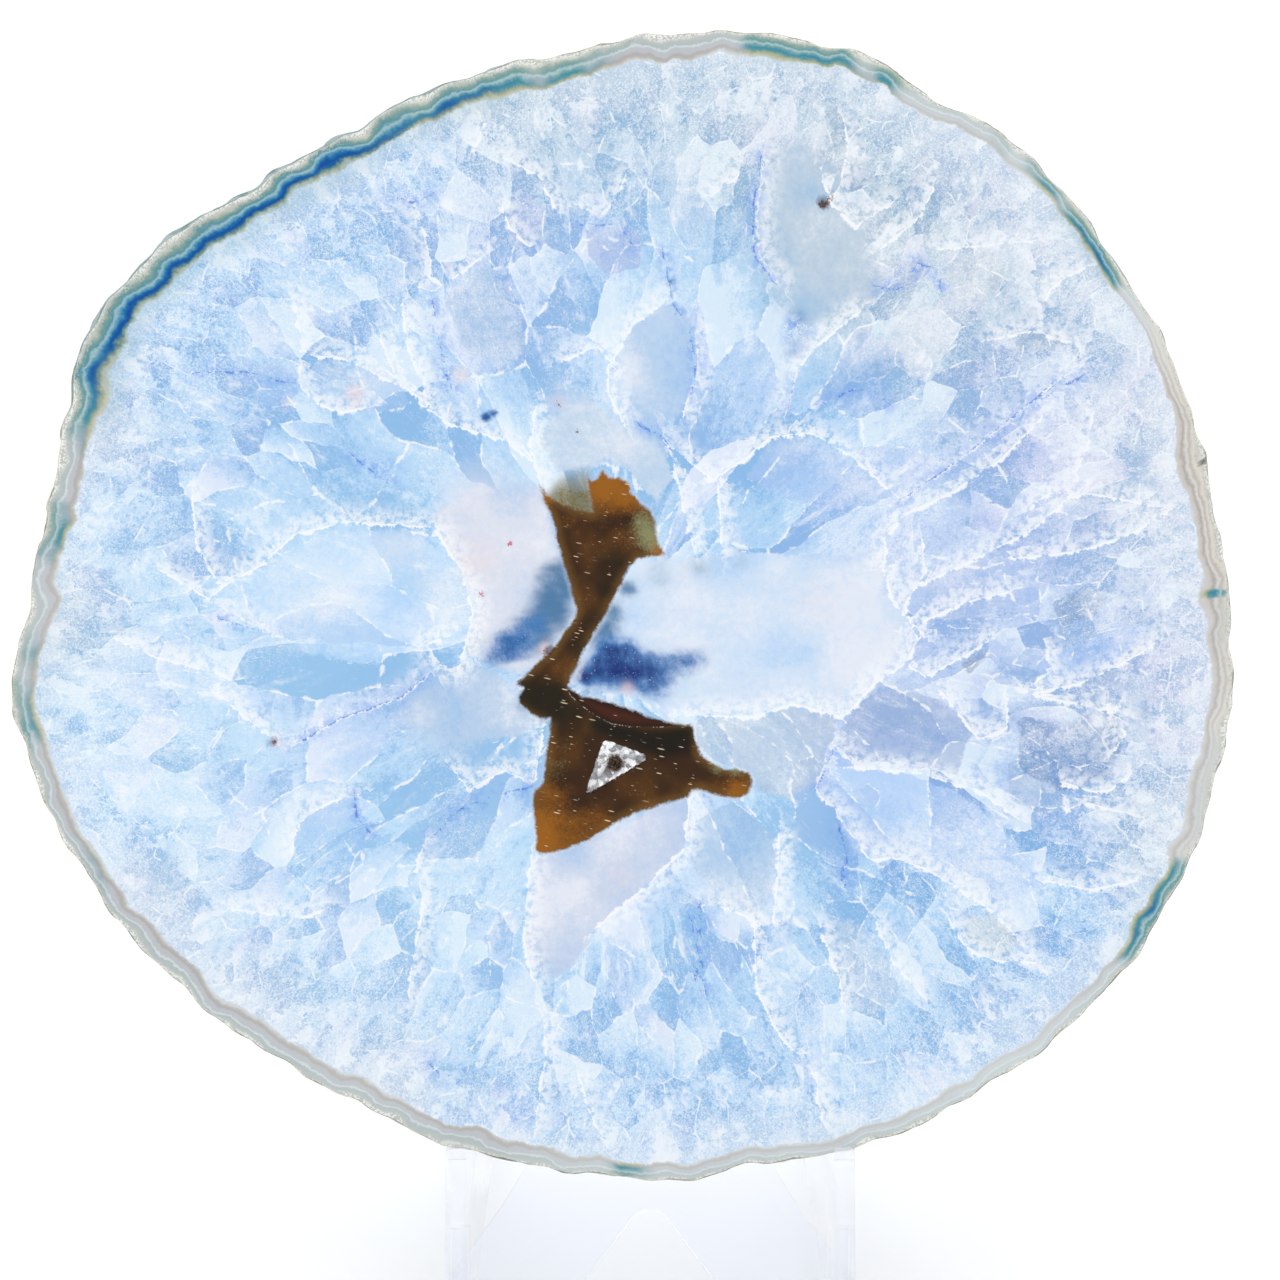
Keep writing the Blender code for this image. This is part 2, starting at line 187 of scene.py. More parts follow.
# Large single crystals: outlines in picture pixels and their colours
MILKY_CRYSTALS = (
    (((566, 686), (585, 652), (602, 621), (621, 584), (637, 559), (700, 556), (760, 552),
      (830, 556), (880, 550), (896, 566), (886, 590), (905, 606), (912, 622), (905, 650),
      (885, 683), (844, 718), (791, 705), (754, 716), (693, 714), (650, 702), (600, 690)),
     (212, 229, 249)),
    (((440, 484), (470, 466), (505, 468), (541, 488), (556, 530), (566, 570), (577, 612),
      (552, 651), (524, 676), (500, 668), (466, 652), (472, 612), (458, 572), (434, 520)),
     (222, 226, 240)),
    (((532, 858), (564, 851), (612, 826), (650, 808), (690, 797), (694, 820), (684, 850),
      (650, 884), (600, 925), (572, 968), (552, 980), (530, 976), (524, 930), (528, 890)),
     (206, 217, 238)),
    (((402, 690), (440, 668), (470, 660), (516, 684), (522, 704), (545, 718), (520, 736),
      (490, 742), (462, 760), (420, 752), (396, 720)),
     (188, 210, 236)),
    (((612, 362), (632, 326), (662, 304), (684, 304), (697, 335), (697, 372), (684, 412),
      (660, 434), (630, 424), (610, 392)),
     (190, 213, 240)),
    (((763, 160), (800, 138), (838, 170), (852, 216), (872, 240), (884, 286), (852, 318),
      (806, 328), (774, 300), (758, 240)),
     (194, 211, 227)),
    (((560, 388), (590, 396), (640, 424), (664, 440), (672, 480), (656, 505), (628, 470),
      (606, 462), (590, 470), (556, 474), (540, 440)),
     (196, 217, 238)),
)
FIRST_PANES = (
    (((693, 715), (754, 717), (791, 706), (836, 717), (834, 745), (818, 783), (790, 800),
      (757, 792), (752, 774), (712, 760), (698, 746)),
     (184, 200, 222)),
    (((832, 742), (852, 766), (901, 771), (958, 791), (991, 816), (1024, 852), (1048, 885),
      (999, 905), (942, 873), (893, 856), (881, 862), (852, 852), (840, 820), (820, 779)),
     (186, 213, 250)),
    (((1015, 716), (1066, 722), (1112, 704), (1126, 738), (1110, 778), (1064, 794), (1020, 772)),
     (118, 152, 200)),
    (((958, 917), (985, 910), (1012, 924), (1024, 946), (1002, 958), (972, 948)), (186, 202, 212)),
    (((820, 110), (836, 100), (850, 122), (846, 160), (832, 182), (818, 150)), (170, 192, 210)),
    (((246, 374), (268, 362), (292, 370), (300, 392), (280, 408), (254, 402)), (168, 200, 240)),
    (((967, 340), (980, 330), (995, 340), (994, 358), (978, 365), (966, 354)), (140, 175, 220)),
    (((508, 200), (530, 192), (546, 212), (540, 240), (518, 250), (506, 228)), (176, 192, 232)),
    (((696, 820), (730, 800), (776, 836), (778, 890), (756, 918), (712, 904), (690, 860)),
     (180, 205, 232)),
    (((942, 250), (990, 243), (1008, 262), (996, 296), (956, 302), (938, 280)), (184, 202, 218)),
    (((444, 296), (486, 262), (512, 300), (530, 350), (500, 368), (462, 350)), (168, 198, 230)),
    (((232, 596), (262, 566), (330, 532), (420, 528), (458, 574), (470, 612), (462, 640),
      (420, 646), (360, 664), (290, 652)),
     (206, 230, 254)),
    (((1036, 668), (1050, 652), (1086, 640), (1120, 620), (1150, 626), (1120, 660), (1080, 680),
      (1050, 690)),
     (176, 204, 246)),
)
SECOND_PANES = (
    (((1050, 604), (1080, 588), (1110, 594), (1098, 616), (1064, 626)), (136, 166, 202)),
    (((960, 664), (982, 650), (990, 658), (968, 674)), (140, 158, 186)),
    (((836, 734), (869, 693), (901, 687), (942, 701), (979, 726), (966, 746), (958, 775),
      (901, 762), (852, 766)),
     (164, 183, 218)),
    (((1007, 760), (1040, 762), (1062, 784), (1064, 808), (1036, 812), (1010, 800)), (166, 192, 224)),
    (((901, 838), (924, 850), (948, 880), (926, 872)), (120, 158, 214)),
    (((852, 790), (868, 784), (880, 796), (872, 810), (856, 806)), (168, 192, 228)),
    (((1007, 330), (1040, 328), (1076, 342), (1052, 352), (1020, 350)), (158, 182, 208)),
    (((300, 382), (318, 362), (360, 362), (404, 382), (410, 404), (372, 414), (324, 410)),
     (174, 205, 242)),
    (((586, 226), (616, 218), (642, 236), (640, 268), (606, 276), (588, 254)), (170, 186, 230)),
    (((893, 304), (940, 300), (960, 330), (946, 364), (908, 372), (886, 344)), (198, 218, 234)),
    (((770, 440), (812, 434), (850, 458), (888, 492), (840, 512), (790, 500), (744, 476)),
     (172, 200, 244)),
    (((926, 576), (980, 556), (1032, 534), (1060, 560), (1040, 600), (980, 620), (936, 620)),
     (180, 200, 238)),
    (((300, 800), (356, 796), (372, 834), (352, 880), (312, 876), (292, 846)), (164, 204, 244)),
    (((820, 930), (852, 916), (892, 960), (900, 1000), (872, 1020), (842, 1000)), (176, 204, 232)),
)
# White fractures and crystal edges, in picture pixels
FRACTURES = (
    ((416, 286), (433, 292), (461, 273), (486, 253)), ((427, 284), (431, 261), (416, 204), (408, 198)),
    ((402, 302), (408, 347), (420, 380), (433, 412)), ((380, 335), (388, 359), (396, 376)),
    ((294, 302), (300, 331), (302, 357), (339, 357), (408, 390), (429, 404)),
    ((302, 363), (298, 380), (310, 400), (339, 412), (367, 408)),
    ((192, 494), (196, 543), (220, 588), (261, 565), (294, 535), (347, 522), (424, 527)),
    ((420, 404), (449, 424), (506, 441), (531, 461)), ((437, 531), (461, 571), (473, 612)),
    ((473, 612), (467, 640), (459, 669), (441, 665), (427, 644), (448, 636)),
    ((163, 571), (229, 612), (261, 629)), ((567, 359), (596, 347), (612, 363)),
    ((608, 363), (608, 392), (624, 424)), ((502, 208), (510, 229), (527, 245)),
    ((584, 208), (600, 216), (616, 200), (624, 180)), ((506, 159), (539, 176), (555, 208)),
    ((473, 151), (486, 122), (473, 106)), ((535, 412), (531, 445), (541, 484)),
    ((713, 196), (738, 176), (742, 163)), ((764, 155), (757, 212), (759, 257), (777, 282)),
    ((824, 180), (832, 204), (856, 227), (889, 204)), ((844, 122), (849, 147), (841, 180)),
    ((787, 412), (799, 367), (820, 343), (856, 314)),
    ((709, 482), (742, 461), (771, 437), (811, 433), (852, 457), (889, 490), (901, 500)),
    ((664, 441), (693, 465), (718, 482), (722, 547)), ((664, 437), (673, 461), (693, 547)),
    ((899, 503), (965, 457), (1054, 384), (1085, 363)),
    ((885, 567), (885, 539), (905, 514), (950, 494), (999, 461), (1048, 412)),
    ((885, 567), (893, 604), (922, 633)), ((905, 604), (926, 571), (922, 543)),
    ((922, 584), (967, 563), (1032, 531), (1069, 498), (1089, 441), (1093, 408)),
    ((1032, 506), (1048, 494), (1093, 494), (1154, 506)),
    ((1015, 559), (1081, 551), (1130, 535), (1171, 510)), ((926, 620), (962, 604), (1007, 592)),
    ((995, 339), (1032, 331), (1073, 343), (1081, 355)),
    ((1044, 302), (1052, 286), (1081, 269), (1101, 261)), ((942, 249), (991, 245), (1032, 241)),
    ((885, 245), (918, 220), (934, 188)), ((693, 716), (754, 717), (793, 704), (844, 718)),
    ((844, 718), (873, 685), (905, 664), (918, 640), (905, 610)),
    ((832, 742), (816, 787), (820, 795), (844, 824), (869, 860), (893, 858), (926, 869),
     (991, 909), (1024, 946)),
    ((832, 742), (856, 767), (918, 773), (979, 791), (1015, 816)),
    ((877, 926), (893, 962), (918, 991)), ((820, 930), (840, 979), (842, 999)),
    ((754, 922), (756, 987), (775, 1028), (797, 1056)), ((701, 905), (730, 909), (758, 922)),
    ((779, 836), (777, 885), (773, 922)),
    ((942, 693), (962, 718), (979, 740), (1007, 728), (1007, 701)),
    ((1048, 652), (1048, 673), (1032, 685), (1048, 691), (1081, 683), (1113, 669), (1162, 640)),
    ((905, 664), (926, 677), (979, 648), (991, 640)),
    ((1060, 783), (1064, 811), (1085, 803), (1138, 816)),
    ((1064, 783), (1089, 791), (1105, 793), (1130, 775)),
    ((1113, 750), (1126, 738), (1109, 705)), ((950, 922), (967, 950), (999, 962), (1032, 962)),
    ((1024, 693), (1081, 705), (1122, 716)),
    ((424, 840), (416, 869), (424, 905), (412, 962), (408, 999)),
    ((290, 852), (298, 824), (327, 803), (355, 795)), ((294, 746), (339, 720), (400, 699), (424, 679)),
    ((216, 693), (261, 730), (273, 742)), ((118, 640), (151, 656), (229, 677)),
    ((457, 775), (469, 791), (502, 771), (535, 783), (544, 722)), ((229, 909), (302, 918), (327, 909)),
    ((539, 1007), (547, 1048), (535, 1122)), ((580, 1077), (588, 1109), (604, 1142)),
    ((816, 1073), (818, 1100), (824, 1122)), ((532, 852), (526, 900), (524, 940), (532, 978)),
    ((690, 800), (684, 850), (640, 892), (600, 925)), ((1040, 880), (1090, 890), (1140, 880)),
    ((697, 330), (698, 372), (684, 412)), ((612, 362), (632, 326), (662, 304)),
)
# Cracks that drew in blue dye, in picture pixels
DYED_CRACKS = (
    ((433, 296), (439, 339), (449, 380), (453, 392)), ((580, 224), (620, 224), (633, 245)),
    ((192, 372), (245, 371), (294, 384)), ((355, 457), (392, 486)),
    ((392, 196), (416, 202), (433, 192)),
    ((220, 618), (253, 629)), ((664, 253), (673, 302), (689, 327), (697, 367), (692, 394)),
    ((762, 155), (754, 212), (756, 257), (775, 282)), ((640, 424), (664, 437), (672, 450)),
    ((901, 500), (967, 453), (1056, 380)), ((844, 862), (842, 885)),
    ((701, 905), (701, 946), (707, 995)),
    ((429, 840), (461, 807), (510, 791), (543, 783)), ((355, 795), (359, 820), (371, 832)),
    ((294, 744), (339, 718), (400, 697), (424, 677)), ((461, 1073), (441, 1077), (425, 1060)),
    ((877, 286), (900, 290), (918, 262), (940, 270), (942, 292)), ((840, 826), (848, 860), (846, 890)),
    ((816, 787), (822, 776), (832, 752)), ((888, 404), (870, 388), (850, 392), (826, 404)),
    ((1038, 402), (1064, 384), (1091, 371)), ((787, 412), (794, 380)),
    ((692, 920), (700, 960), (694, 990)),
)
# Stains: x, y and spread in picture pixels, and strength
AMBER_SPOTS = (
    (606, 486, 22, 1.0), (628, 498, 16, 0.85), (546, 496, 10, 0.9), (540, 838, 26, 1.0),
    (558, 822, 26, 0.55), (738, 788, 16, 0.85), (657, 549, 11, 0.8), (602, 512, 18, 0.4),
    (580, 832, 22, 0.35), (562, 520, 15, 0.45), (556, 796, 16, 0.5), (600, 825, 20, 0.35),
)
DARK_SPOTS = (
    (524, 692, 14, 1.0), (540, 698, 18, 1.0), (556, 694, 16, 0.9), (556, 712, 14, 0.9),
    (576, 712, 12, 0.8), (600, 726, 13, 0.9), (590, 634, 24, 0.35), (618, 560, 16, 0.6),
    (577, 650, 14, 0.6), (596, 618, 12, 0.5), (606, 590, 14, 0.6), (660, 776, 20, 0.5),
    (640, 760, 12, 0.4), (566, 740, 16, 0.5), (600, 560, 30, 0.25), (704, 770, 16, 0.3),
)
OLIVE_SPOTS = (
    (648, 532, 14, 0.95), (640, 520, 10, 0.6), (650, 545, 10, 0.7), (718, 766, 9, 0.75),
    (736, 770, 9, 0.8), (556, 770, 12, 0.3),
)
NAVY_SPOTS = (
    (586, 676, 11, 1.0), (600, 671, 15, 1.0), (616, 670, 17, 1.0), (632, 673, 15, 0.95),
    (608, 653, 15, 0.9), (626, 653, 14, 0.7), (648, 670, 17, 0.75), (668, 668, 17, 0.6),
    (688, 662, 15, 0.45), (704, 656, 11, 0.3), (656, 688, 15, 0.5), (515, 640, 16, 0.5),
    (503, 650, 15, 0.5), (493, 658, 12, 0.4), (529, 630, 16, 0.4), (520, 655, 14, 0.3),
    (540, 618, 14, 0.25), (486, 417, 5, 1.0), (494, 413, 4, 0.7), (797, 316, 12, 0.3),
    (791, 351, 11, 0.26), (802, 342, 10, 0.24), (672, 283, 5, 0.7),
)
TEAL_SPOTS = (
    (561, 584, 16, 1.0), (555, 600, 18, 1.0), (546, 612, 16, 0.9), (536, 624, 16, 0.8),
    (566, 568, 12, 0.75), (548, 577, 14, 0.6), (560, 622, 12, 0.6), (628, 588, 10, 0.95),
    (614, 612, 12, 0.8), (606, 628, 13, 0.85), (600, 642, 12, 0.8), (545, 640, 14, 0.6),
    (512, 642, 20, 0.6), (530, 640, 20, 0.5), (590, 690, 12, 0.4), (660, 575, 16, 0.35),
    (700, 570, 18, 0.3), (740, 560, 14, 0.25), (524, 706, 10, 0.5), (545, 716, 9, 0.5),
)
DYE_CLOUDS = (
    (508, 1104, 28, 1.0), (530, 1120, 16, 0.7), (640, 1100, 16, 0.4), (760, 230, 10, 0.7),
    (905, 275, 24, 0.6), (800, 330, 24, 0.8), (870, 385, 30, 0.5), (600, 240, 26, 0.6),
    (700, 350, 12, 0.7), (230, 372, 30, 0.5), (380, 470, 26, 0.6), (250, 830, 40, 0.35),
    (200, 850, 26, 0.3), (770, 1030, 20, 0.3), (1060, 700, 50, 0.3), (870, 840, 18, 0.4),
    (940, 960, 30, 0.3), (1040, 840, 30, 0.3), (480, 200, 30, 0.3), (270, 240, 26, 0.35),
    (110, 460, 16, 0.5), (440, 380, 16, 0.5), (690, 470, 14, 0.4), (720, 1080, 30, 0.3),
    (400, 1000, 30, 0.2), (950, 1060, 20, 0.4), (840, 500, 40, 0.3), (700, 960, 16, 0.4),
)
BLUSH_SPOTS = (
    (355, 395, 13, 0.8), (286, 404, 11, 0.5), (461, 375, 10, 0.7), (478, 560, 26, 0.5),
    (545, 648, 7, 1.0), (627, 689, 9, 0.8), (560, 400, 10, 0.6), (276, 742, 6, 0.9),
    (620, 880, 26, 0.4), (820, 600, 40, 0.25),
)
# Where the outlines of the large crystals fade into what surrounds them
FADING_SPOTS = (
    (480, 466, 30, 1.0), (450, 486, 18, 0.6), (512, 474, 18, 0.6), (534, 984, 16, 0.5),
    (640, 405, 26, 0.9), (560, 388, 22, 0.7), (420, 750, 28, 1.0), (400, 690, 20, 0.7),
    (800, 146, 30, 0.9), (878, 280, 30, 0.8), (770, 300, 24, 0.6), (470, 760, 22, 0.6),
    (830, 548, 26, 0.4), (660, 690, 14, 0.5), (250, 660, 40, 0.9), (240, 580, 30, 0.6),
)
BROWN_SPOTS = (
    (824, 204, 5, 1.0), (829, 199, 3, 0.8), (274, 743, 4, 1.0), (558, 404, 3.5, 0.7),
    (577, 431, 3.5, 0.8), (546, 652, 3.5, 0.7),
)
CRIMSON_SPOTS = ((510, 543, 4, 1.0), (482, 594, 3.5, 0.9), (546, 640, 3, 0.6))

# What the material reads as a distance to an outline, a stain and a layer of crystals. Each
# layer of crystals has its strength, from the lowest layer up.
OUTLINES = {"heart": HEART, "red": RED_FACET, "wedge": BLACK_WEDGE}
STAINS = {
    "amber": AMBER_SPOTS,
    "dark": DARK_SPOTS,
    "olive": OLIVE_SPOTS,
    "navy": NAVY_SPOTS,
    "teal": TEAL_SPOTS,
    "blush": BLUSH_SPOTS,
    "crimson": CRIMSON_SPOTS,
    "brown": BROWN_SPOTS,
    "fading": FADING_SPOTS,
    "dye_cloud": DYE_CLOUDS,
}
CRYSTALS = {"pane_two": SECOND_PANES, "pane_one": FIRST_PANES, "milky": MILKY_CRYSTALS}
CRYSTAL_LAYERS = (("pane_two", 0.6), ("pane_one", 0.64), ("milky", 0.93))

# Rind: direction in degrees and depth in millimetres
RIND_DEPTH = (
    (-2, 4.0), (1.3, 5.2), (4, 4.2), (11, 4.0), (13.8, 5.0), (17, 3.4), (19, 2.9), (30, 2.3),
    (45, 2.8), (60, 3.2), (75, 3.6), (90, 4.2), (105, 4.6), (120, 4.6), (135, 5.0), (150, 5.6),
    (165, 4.8), (180, 4.0), (195, 3.7), (210, 3.6), (230, 3.5), (250, 3.4), (270, 3.0), (300, 2.6),
    (320, 2.7), (340, 3.6),
)
# Dye in the rind: direction, half width in degrees, strength
RIND_DYE = (
    (150, 9, 1.0), (141, 9, 1.0), (131, 9, 0.95), (121, 7, 0.65), (111, 8, 0.75), (104, 6, 0.6),
    (93, 6, 0.45), (157, 6, 0.8), (76, 4, 0.38), (70, 4, 0.45), (63, 4, 0.3), (47, 4, 0.3),
    (39, 4, 0.85), (35, 2.5, 0.8), (-33, 3.4, 0.6), (-28, 3, 0.35), (184, 4, 0.42), (191, 3, 0.4),
    (173, 4, 0.3), (-87, 7, 0.18), (-78, 5, 0.15), (222, 4, 0.15), (-60, 4, 0.1), (1.1, 0.4, 0.6),
)
# Where it is cream-coloured
RIND_CREAM = ((8, 11, 1.0), (22, 8, 0.9), (-10, 9, 0.7), (-24, 8, 0.5))
# Where the whole rind is paler
RIND_PALE = (
    (-30, 8, 0.6), (-50, 14, 0.9), (-72, 12, 0.6), (-92, 10, 0.5), (-14, 10, 0.4), (30, 8, 0.8),
    (46, 9, 0.8), (60, 7, 0.6), (75, 6, 0.3), (182, 12, 0.25), (240, 12, 0.25),
)
RIND_ARCS = {"dye": RIND_DYE, "cream": RIND_CREAM, "pale": RIND_PALE}
# Bands of the rind from the skin to the quartz: place, then red, green and blue
PLAIN_BANDS = (
    (0.0, 214, 214, 206), (0.12, 224, 226, 220), (0.22, 188, 196, 194), (0.4, 178, 190, 192),
    (0.47, 216, 222, 224), (0.55, 188, 196, 202), (0.7, 192, 194, 198), (0.8, 178, 176, 176),
    (0.9, 190, 186, 180), (1.0, 210, 216, 220),
)
BLUE_BANDS = (
    (0.0, 196, 198, 182), (0.14, 186, 192, 178), (0.3, 122, 158, 154), (0.42, 84, 146, 162),
    (0.5, 158, 190, 200), (0.57, 98, 160, 186), (0.66, 22, 112, 170), (0.76, 0, 74, 156),
    (0.84, 8, 96, 158), (0.93, 120, 146, 128), (1.0, 168, 184, 176),
)
TEAL_BANDS = (
    (0.0, 206, 206, 190), (0.12, 214, 214, 200), (0.26, 150, 174, 164), (0.42, 104, 156, 160),
    (0.5, 176, 200, 200), (0.58, 120, 168, 176), (0.7, 62, 140, 160), (0.8, 96, 154, 158),
    (0.9, 176, 178, 146), (1.0, 196, 200, 184),
)
CREAM_BANDS = (
    (0.0, 228, 222, 212), (0.2, 210, 203, 192), (0.36, 223, 218, 208), (0.5, 190, 185, 178),
    (0.62, 222, 218, 213), (0.76, 176, 172, 168), (0.88, 204, 198, 192), (1.0, 208, 206, 204),
)

# How the crystals grew: they spread from this far below the middle, in generations that have
# cells per radian, a length in millimetres and a seed. A finer one begins and has taken over
# at two depths from the rind.
SPREAD_DROP = 5.0
MIDDLE_CRYSTALS = (5.0, 17.0, 11.7)
SMALL_CRYSTALS = (14.0, 7.5, 23.9)
NEEDLES = (44.0, 4.2, 41.3)
SMALL_DEPTHS = (44.0, 28.0)
NEEDLE_DEPTHS = (26.0, 4.0)
FIBRES_PER_RADIAN = 17.0
FIBRES_PER_MM = 0.13
# Shader noises: scale, detail and roughness. The stone's are torn, grain and fine.
STONE_NOISES = ((0.42, 3.0, 0.7), (0.8, 4.0, 0.68), (2.7, 2.0, 0.6))
FIBRE_NOISE = (1.0, 5.0, 0.75)
# Noises kept on the stone's surface: size in millimetres, layers and seed
SURFACE_NOISES = {
    "cloud": (12.0, 4, 50),
    "milk": (9.0, 3, 60),
    "soft": (4.6, 3, 70),
    "pitted": (1.9, 3, 90),
}
TUFT_NOISE = (1.6, 2, 80)
# The ink's tufts are three times as long as they are wide
TUFT_STRETCH = (0.45, 1.35, 1.0)
# Noises that shift the crystals' places, and how far, in millimetres
DRIFT_NOISE = (21.0, 2, 10)
DRIFT_REACH = 9.0
BEND_NOISE = (4.6, 3, 30)
BEND_REACH = 3.0
VECTOR_FIELDS = ("drifted", "bent")
# How many random values the lattice noise draws from, and how far apart in that list the
# values of neighbours along x, y and z are
LATTICE_SIZE = 4096
LATTICE_STRIDES = (73, 1291, 409)
# How far each finer layer of noise is shifted, and how much the layers' sum is drawn in
LAYER_SHIFT = 7.7
LAYER_CONTRAST = 0.9
# Noises that roughen the rim: size, strength and seed
RIM_NOISES = ((3.1, 0.5, 1), (1.2, 0.3, 2), (0.6, 0.2, 3))
# The faces' outer edges share that roughness, over this width in millimetres
FACE_EDGE_ROUGHNESS = 0.45
FACE_EDGE_WIDTH = 0.8
BACK_GLOSS = 0.6
# The share of a white or dyed line that is its solid core
LINE_CORE = 0.2
# The heart's scratches: the turn of their cells and their stretch
SCRATCH_TURN = (0.0, 0.0, 0.22)
SCRATCH_STRETCH = (0.36, 1.9, 0.0)


def linear(red, green, blue):
    """A colour given in 0 to 255 display values, as linear light."""
    shares = (value / 255.0 for value in (red, green, blue))
    return tuple(s / 12.92 if s <= 0.04045 else ((s + 0.055) / 1.055) ** 2.4 for s in shares)


# Body tints of the quartz
SKY = linear(178, 214, 247)
DEEP_SKY = linear(152, 201, 243)
ICE = linear(196, 227, 252)
LAVENDER = linear(188, 208, 243)
PEARL = linear(190, 212, 230)
GREY = linear(174, 198, 216)
FROST = linear(208, 220, 238)
# Whites and dyes in the quartz
PALE_ICE = linear(232, 246, 255)
MILK_WHITE = linear(244, 244, 250)
RIND_SIDE_WHITE = linear(224, 234, 245)
FRACTURE_WHITE = linear(249, 252, 255)
DYE_WASH = linear(112, 166, 240)
DYE_LINE = linear(72, 118, 220)
DYE_HALO = linear(118, 166, 238)
DYED_CRACK = linear(72, 118, 214)
# Stains beside the heart
TEAL_INK = linear(54, 112, 158)
BLUE_INK = linear(62, 128, 196)
NAVY_INK = linear(6, 36, 112)
# Painted glints in the navy ink
PAINTED_GLINT = linear(188, 208, 240)
BLUSH = linear(240, 214, 216)
BROWN_SPECK = linear(128, 84, 66)
CRIMSON_SPECK = linear(200, 52, 100)
# The heart
HEART_FRINGE = linear(210, 216, 232)
VEIL_OLIVE = linear(118, 104, 44)
THICK_BROWN = linear(54, 30, 8)
THIN_BROWN = linear(84, 50, 12)
BROWN_EDGE = linear(118, 84, 34)
AMBER = linear(154, 94, 18)
OLIVE = linear(146, 150, 108)
DARK_BROWN = linear(26, 22, 6)
WEDGE_BLACK = linear(16, 12, 5)
DARK_RED_BROWN = linear(40, 18, 5)
RED_BROWN = linear(72, 30, 12)
SEAM = linear(196, 184, 168)
SCRATCH = linear(236, 216, 180)
# The rind, the skin on it and the rough rim
DYE_HAZE = linear(128, 176, 190)
PALE_RIND = linear(224, 232, 234)
SKIN_GREY = linear(192, 196, 192)
SKIN_WHITE = linear(247, 248, 245)
PIT_GREY = linear(146, 147, 132)
RIM_CREAM = linear(226, 223, 210)
RIM_TEAL = linear(88, 142, 160)
# The crystals in the pocket
CRYSTAL_GREY = linear(134, 134, 140)
CRYSTAL_WHITE = linear(250, 251, 253)
# Painted shade down in the pocket's hole, and the brown bits in it
HOLLOW_PAINTED_SHADE = linear(24, 18, 12)
HOLLOW_BROWN = linear(118, 92, 72)
# What a colour is multiplied by to deepen it or give it a cast
DEEPENING = (0.6, 0.75, 0.88)
CRYSTAL_DEEPENING = (0.7, 0.85, 0.99)
LILAC_CAST = (1.05, 0.95, 0.99)
# Keeps the stone's colours as named under the bright studio light
BODY_LEVEL = (0.84, 0.84, 0.84)
# Where the body tints lie: x, y and spread in picture pixels, and colour
TINT_SPOTS = (
    (250, 450, 130, SKY), (200, 330, 90, SKY), (330, 600, 120, ICE), (170, 700, 110, ICE),
    (330, 950, 120, ICE), (230, 880, 90, ICE), (500, 880, 90, ICE), (640, 1020, 120, SKY),
    (800, 1060, 100, SKY), (950, 1000, 110, SKY), (1000, 880, 90, DEEP_SKY),
    (700, 870, 80, ICE), (1060, 760, 90, LAVENDER), (1090, 620, 90, LAVENDER),
    (1000, 560, 80, LAVENDER), (1130, 470, 80, FROST), (1000, 420, 70, LAVENDER),
    (1170, 600, 70, FROST), (1150, 700, 60, FROST), (110, 430, 40, FROST),
    (170, 900, 45, FROST), (250, 985, 50, FROST), (360, 1070, 50, FROST), (1090, 700, 50, PEARL),
    (950, 330, 80, PEARL), (870, 240, 90, GREY), (1000, 200, 80, FROST), (860, 110, 90, PEARL),
    (700, 130, 90, PEARL), (560, 130, 80, PEARL), (620, 230, 80, SKY), (500, 260, 70, LAVENDER),
    (470, 360, 70, SKY), (380, 230, 90, SKY), (700, 300, 70, SKY), (860, 420, 80, SKY),
    (760, 460, 80, SKY), (60, 620, 50, PEARL), (120, 520, 60, ICE), (900, 690, 60, LAVENDER),
    (1150, 820, 50, PEARL), (620, 400, 60, ICE), (420, 700, 70, SKY), (640, 760, 90, ICE),
)


# Shapes worked out with numpy


def from_photo(points):
    """Picture pixels as slice coordinates u and v: the offset from the middle, times the scale."""
    pixels = np.asarray(points, dtype=float)
    offset = pixels[..., :2] - PICTURE_MIDDLE
    return offset * (PICTURE_SCALE, -PICTURE_SCALE)


def closed_curve(stops, degrees):
    """A smooth periodic curve through (degrees, value) stops: cubic pieces whose slope at each
    stop is that of the line between its two neighbours."""
    at, value = np.array(stops, dtype=float).T
    at = np.concatenate((at[-2:] - 360.0, at, at[:3] + 360.0))
    value = np.concatenate((value[-2:], value, value[:3]))
    slope = np.zeros_like(value)
    slope[1:-1] = (value[2:] - value[:-2]) / (at[2:] - at[:-2])
    turned = degrees % 360.0
    last = np.searchsorted(at, turned, side="right") - 1
    span = at[last + 1] - at[last]
    t = (turned - at[last]) / span
    return (
        value[last] * (2 * t**3 - 3 * t**2 + 1)
        + slope[last] * span * (t**3 - 2 * t**2 + t)
        + value[last + 1] * (3 * t**2 - 2 * t**3)
        + slope[last + 1] * span * (t**3 - t**2)
    )


def front_radius(angle):
    """Radius of the polished front: the outline's curve plus its scallops, which are sines."""
    scallop = sum(height * np.sin(waves * angle + phase) for waves, height, phase in SCALLOPS)
    return closed_curve(OUTLINE, np.degrees(angle)) + scallop


def rim_radius(angle, level):
    """Radius of the edge at a level from 0, the front, to 1, the back: the front's radius, a
    straight skew towards the back, and a bulge with lumps that vanishes at both faces."""
    turned = (angle - SKEW_DIRECTION + math.pi) % math.tau - math.pi
    skew = RIND_SKEW + RIND_SKEW_UPPER_LEFT * np.exp(-((turned / SKEW_SPREAD) ** 2))
    lumps = sum(
        height * np.sin(waves * angle + phase) * np.cos(math.tau * across * level + phase)
        for waves, across, height, phase in RIND_LUMPS
    )
    return front_radius(angle) + skew * level + (RIND_BULGE + lumps) * np.sin(math.pi * level)


